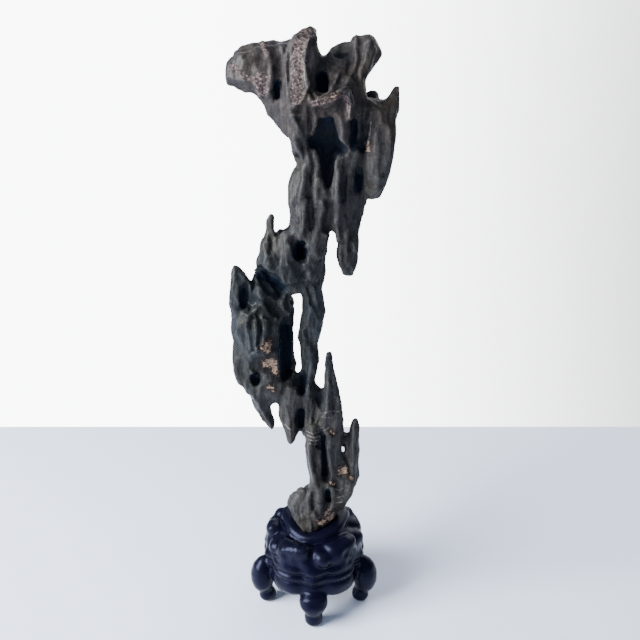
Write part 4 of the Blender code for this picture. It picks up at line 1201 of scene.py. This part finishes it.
def floor_material(colour):
    mat, tree, shader = new_material("pale_table")
    where = add(tree, "TexCoord").outputs["Object"]
    cloud = noise_field(tree, where, 9, 3)
    tree.links.new(tint(tree, between(tree, cloud, 0.3, 0.7, 0.0, 0.25), tuple(colour),
                        tuple(c * 0.94 for c in colour)), shader.inputs["Base Color"])
    shader.inputs["Roughness"].default_value = 0.55
    return mat


def build_floor(settings):
    bm = bmesh.new()
    reach, depth = settings.floor_reach, settings.floor_depth
    bmesh.ops.create_grid(bm, x_segments=8, y_segments=8, size=1)
    bmesh.ops.scale(bm, vec=(reach, reach, 1), verts=bm.verts)
    bmesh.ops.translate(bm, vec=(0, depth - reach, 0), verts=bm.verts)
    floor = new_object("floor", bm)
    floor.data.materials.append(floor_material(settings.floor_colour))


def soft_light(name, place, size, watts, colour):
    data = bpy.data.lights.new(name, "AREA")
    data.shape = "RECTANGLE"
    data.size, data.size_y = size
    data.energy = watts
    data.color = colour
    light = bpy.data.objects.new(name, data)
    light.location = place
    light.rotation_euler = (Vector(LIGHT_AIM) - Vector(place)).to_track_quat("-Z", "Y").to_euler()
    bpy.context.scene.collection.objects.link(light)


def build_world(settings):
    world = bpy.data.worlds.new("pale_room")
    world.use_nodes = True
    tree = world.node_tree
    plain = tree.nodes["Background"]
    plain.inputs["Color"].default_value = (*settings.room_colour, 1)
    plain.inputs["Strength"].default_value = settings.room_strength
    # Painted shade on the backdrop: seen by the camera only, it dims towards the right as if the
    # window's light fell off across the wall.
    way = add(tree, "TexCoord").outputs["Generated"]
    aside = add(tree, "SeparateXYZ", Vector=way).outputs["X"]
    wall = add(tree, "Background", Color=(*settings.wall_colour, 1),
               Strength=between(tree, aside, -0.2, 0.55, settings.wall_strength,
                                settings.wall_strength * 0.14))
    looked_at = add(tree, "LightPath").outputs["Is Camera Ray"]
    mix = add(tree, "MixShader", Fac=looked_at, i1=plain.outputs[0], i2=wall.outputs[0])
    tree.links.new(mix.outputs[0], tree.nodes["World Output"].inputs["Surface"])
    bpy.context.scene.world = world


def place_camera():
    data = bpy.data.cameras.new("camera")
    data.lens = data.sensor_width * VIEW_REACH / VIEW_SIZE
    data.clip_start = 0.01
    camera = bpy.data.objects.new("camera", data)
    camera.location = Vector(EYE) * MM
    camera.rotation_euler = (math.pi / 2 - TILT, 0, 0)
    bpy.context.scene.collection.objects.link(camera)
    bpy.context.scene.camera = camera


# --- settings, buttons and panel ---

def colour_setting(name, description, default, most=1):
    return FloatVectorProperty(name=name, description=description, default=default,
                               subtype="COLOR", min=0, max=most)


def factor_setting(name, description, default, most=2.0):
    return FloatProperty(name=name, description=description, default=default,
                         min=0.0, max=most, subtype="FACTOR")


class ScholarsStoneSettings(bpy.types.PropertyGroup):
    grid: FloatProperty(name="Surface Grid", description="Spacing of the stone's surface points",
                        default=0.9 * MM, min=0.5 * MM, precision=5, unit="LENGTH")
    scoops: factor_setting("Scoops", "Depth of the hollows between the crests", 1.0)
    crests: factor_setting("Front Crests", "Height of the named crests in front", 1.25)
    grain: factor_setting("Grain", "Height of the finest relief", 1.0)
    facets: IntProperty(name="Facets", description="Broad facets the stone is broken into",
                        default=9000, min=1000)
    triangles: IntProperty(name="Triangles", description="Most triangles the stone may have",
                           default=194000, min=10000)
    dark: colour_setting("Dark Stone", "Darkest colour of the stone", (0.0195, 0.0193, 0.0205))
    light: colour_setting("Grey Stone", "Lighter colour of the stone", (0.033, 0.0315, 0.0305))
    earth: colour_setting("Earth Tint", "Green-brown clouds in the stone", (0.024, 0.0205, 0.0145))
    # Painted light and shade: the middle band is darkened and cooled as painted shade, the head
    # lightened and warmed as painted light.
    middle_painted_shade: colour_setting("Middle Cast", "Cool cast of the middle", (0.56, 0.69, 0.82), most=2)
    head_painted_light: colour_setting("Head Cast", "Warm cast of the head", (1.3, 1.12, 1.1), most=2)
    worn: colour_setting("Worn Crests", "Colour of rubbed crests", (0.052, 0.05, 0.047))
    crust: colour_setting("Pitted Crust", "Pinkish crust on the head", (0.125, 0.084, 0.076))
    gloss: factor_setting("Polish", "Strength of the stone's reflections", 0.098, most=1.0)
    chip: colour_setting("Tan Chips", "Fresh breaks", (0.26, 0.175, 0.12))


class ScholarsStandSettings(bpy.types.PropertyGroup):
    grid: FloatProperty(name="Surface Grid", description="Spacing of the stand's surface points",
                        default=0.95 * MM, min=0.5 * MM, precision=5, unit="LENGTH")
    dents: factor_setting("Carving", "Depth of the dents between the bosses", 1.0)
    gloss: factor_setting("Polish", "Strength of the lacquer's reflections", 0.125, most=1.0)
    lacquer: colour_setting("Lacquer", "Black of the stand", (0.001, 0.0008, 0.0042))
    sheen: colour_setting("Lacquer Cloud", "Blue-violet cast in the black",
                          (0.002, 0.0015, 0.0075))
    rubbed: colour_setting("Rubbed Edges", "Colour where it is handled", (0.0045, 0.0048, 0.0088))


class ScholarsStageSettings(bpy.types.PropertyGroup):
    floor_reach: FloatProperty(name="Table Half Width", description="Half width of the table",
                               default=1.1, min=0.1, unit="LENGTH")
    floor_depth: FloatProperty(name="Table Behind", description="Table behind the stand",
                               default=0.351, min=0.1, unit="LENGTH")
    floor_colour: colour_setting("Floor", "Colour of the floor", (0.78, 0.82, 0.95))
    room_colour: colour_setting("Room", "Colour of the fill light", (0.6, 0.74, 1.0))
    room_strength: FloatProperty(name="Fill", description="Strength of the fill light",
                                 default=0.55, min=0.0)
    wall_colour: colour_setting("Backdrop", "Colour behind the stone", (0.93, 0.96, 0.95))
    # the backdrop's brightness on the left; it dims to a painted shade on the right
    wall_strength: FloatProperty(name="Backdrop Strength", description="Its brightness",
                                 default=10.0, min=0.0)
    window_power: FloatProperty(name="Window Light", description="Power of the main light",
                                default=108.0, min=0.0, unit="POWER")


class ScholarsRockSettings(bpy.types.PropertyGroup):
    stone: PointerProperty(type=ScholarsStoneSettings, name="Stone")
    stand: PointerProperty(type=ScholarsStandSettings, name="Stand")
    stage: PointerProperty(type=ScholarsStageSettings, name="Stage")


class SCHOLARS_OT_stone(bpy.types.Operator):
    """Build the perforated stone"""
    bl_idname = "scholars_rock.stone"
    bl_label = "Stone"
    bl_options = {"REGISTER", "UNDO"}

    def execute(self, context):
        stone = build_stone(context.scene.scholars_rock.stone)
        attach(stone, "root")
        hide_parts("rock")
        return {"FINISHED"}


class SCHOLARS_OT_stand(bpy.types.Operator):
    """Build the carved stand round the stone's foot"""
    bl_idname = "scholars_rock.stand"
    bl_label = "Stand"
    bl_options = {"REGISTER", "UNDO"}

    def execute(self, context):
        stone = bpy.data.objects.get("scholars_stone")
        if stone is None:
            raise RuntimeError("build the stone first: the stand's socket is cut to its foot")
        stand = build_stand(stone, context.scene.scholars_rock.stand)
        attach(stand, "root")
        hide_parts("stand")
        return {"FINISHED"}


class SCHOLARS_OT_stage(bpy.types.Operator):
    """Lay the floor, set the lights and place the camera"""
    bl_idname = "scholars_rock.stage"
    bl_label = "Floor, Light and Camera"
    bl_options = {"REGISTER", "UNDO"}

    def execute(self, context):
        settings = context.scene.scholars_rock.stage
        build_floor(settings)
        build_world(settings)
        for name, (place, size, share, colour) in LIGHTS.items():
            soft_light(name, place, size, settings.window_power * share, colour)
        place_camera()
        return {"FINISHED"}


class SCHOLARS_PT_panel(bpy.types.Panel):
    """Pieces of the scholars rock and their sizes and colours"""
    bl_label = "Scholars Rock"
    bl_idname = "SCHOLARS_PT_panel"
    bl_space_type = "VIEW_3D"
    bl_region_type = "UI"
    bl_category = "Scholars Rock"

    def draw(self, context):
        settings = context.scene.scholars_rock
        for part, operator in (("stone", SCHOLARS_OT_stone), ("stand", SCHOLARS_OT_stand),
                               ("stage", SCHOLARS_OT_stage)):
            box = self.layout.box()
            group = getattr(settings, part)
            for name in group.__annotations__:
                box.prop(group, name)
            box.operator(operator.bl_idname)


CLASSES = (ScholarsStoneSettings, ScholarsStandSettings, ScholarsStageSettings,
           ScholarsRockSettings, SCHOLARS_OT_stone, SCHOLARS_OT_stand, SCHOLARS_OT_stage,
           SCHOLARS_PT_panel)


def register():
    for cls in CLASSES:
        bpy.utils.register_class(cls)
    bpy.types.Scene.scholars_rock = PointerProperty(type=ScholarsRockSettings)


def unregister():
    del bpy.types.Scene.scholars_rock
    for cls in reversed(CLASSES):
        bpy.utils.unregister_class(cls)


def main():
    register()
    bpy.ops.scholars_rock.stone()
    bpy.ops.scholars_rock.stand()
    bpy.ops.scholars_rock.stage()


if __name__ == "__main__":
    main()
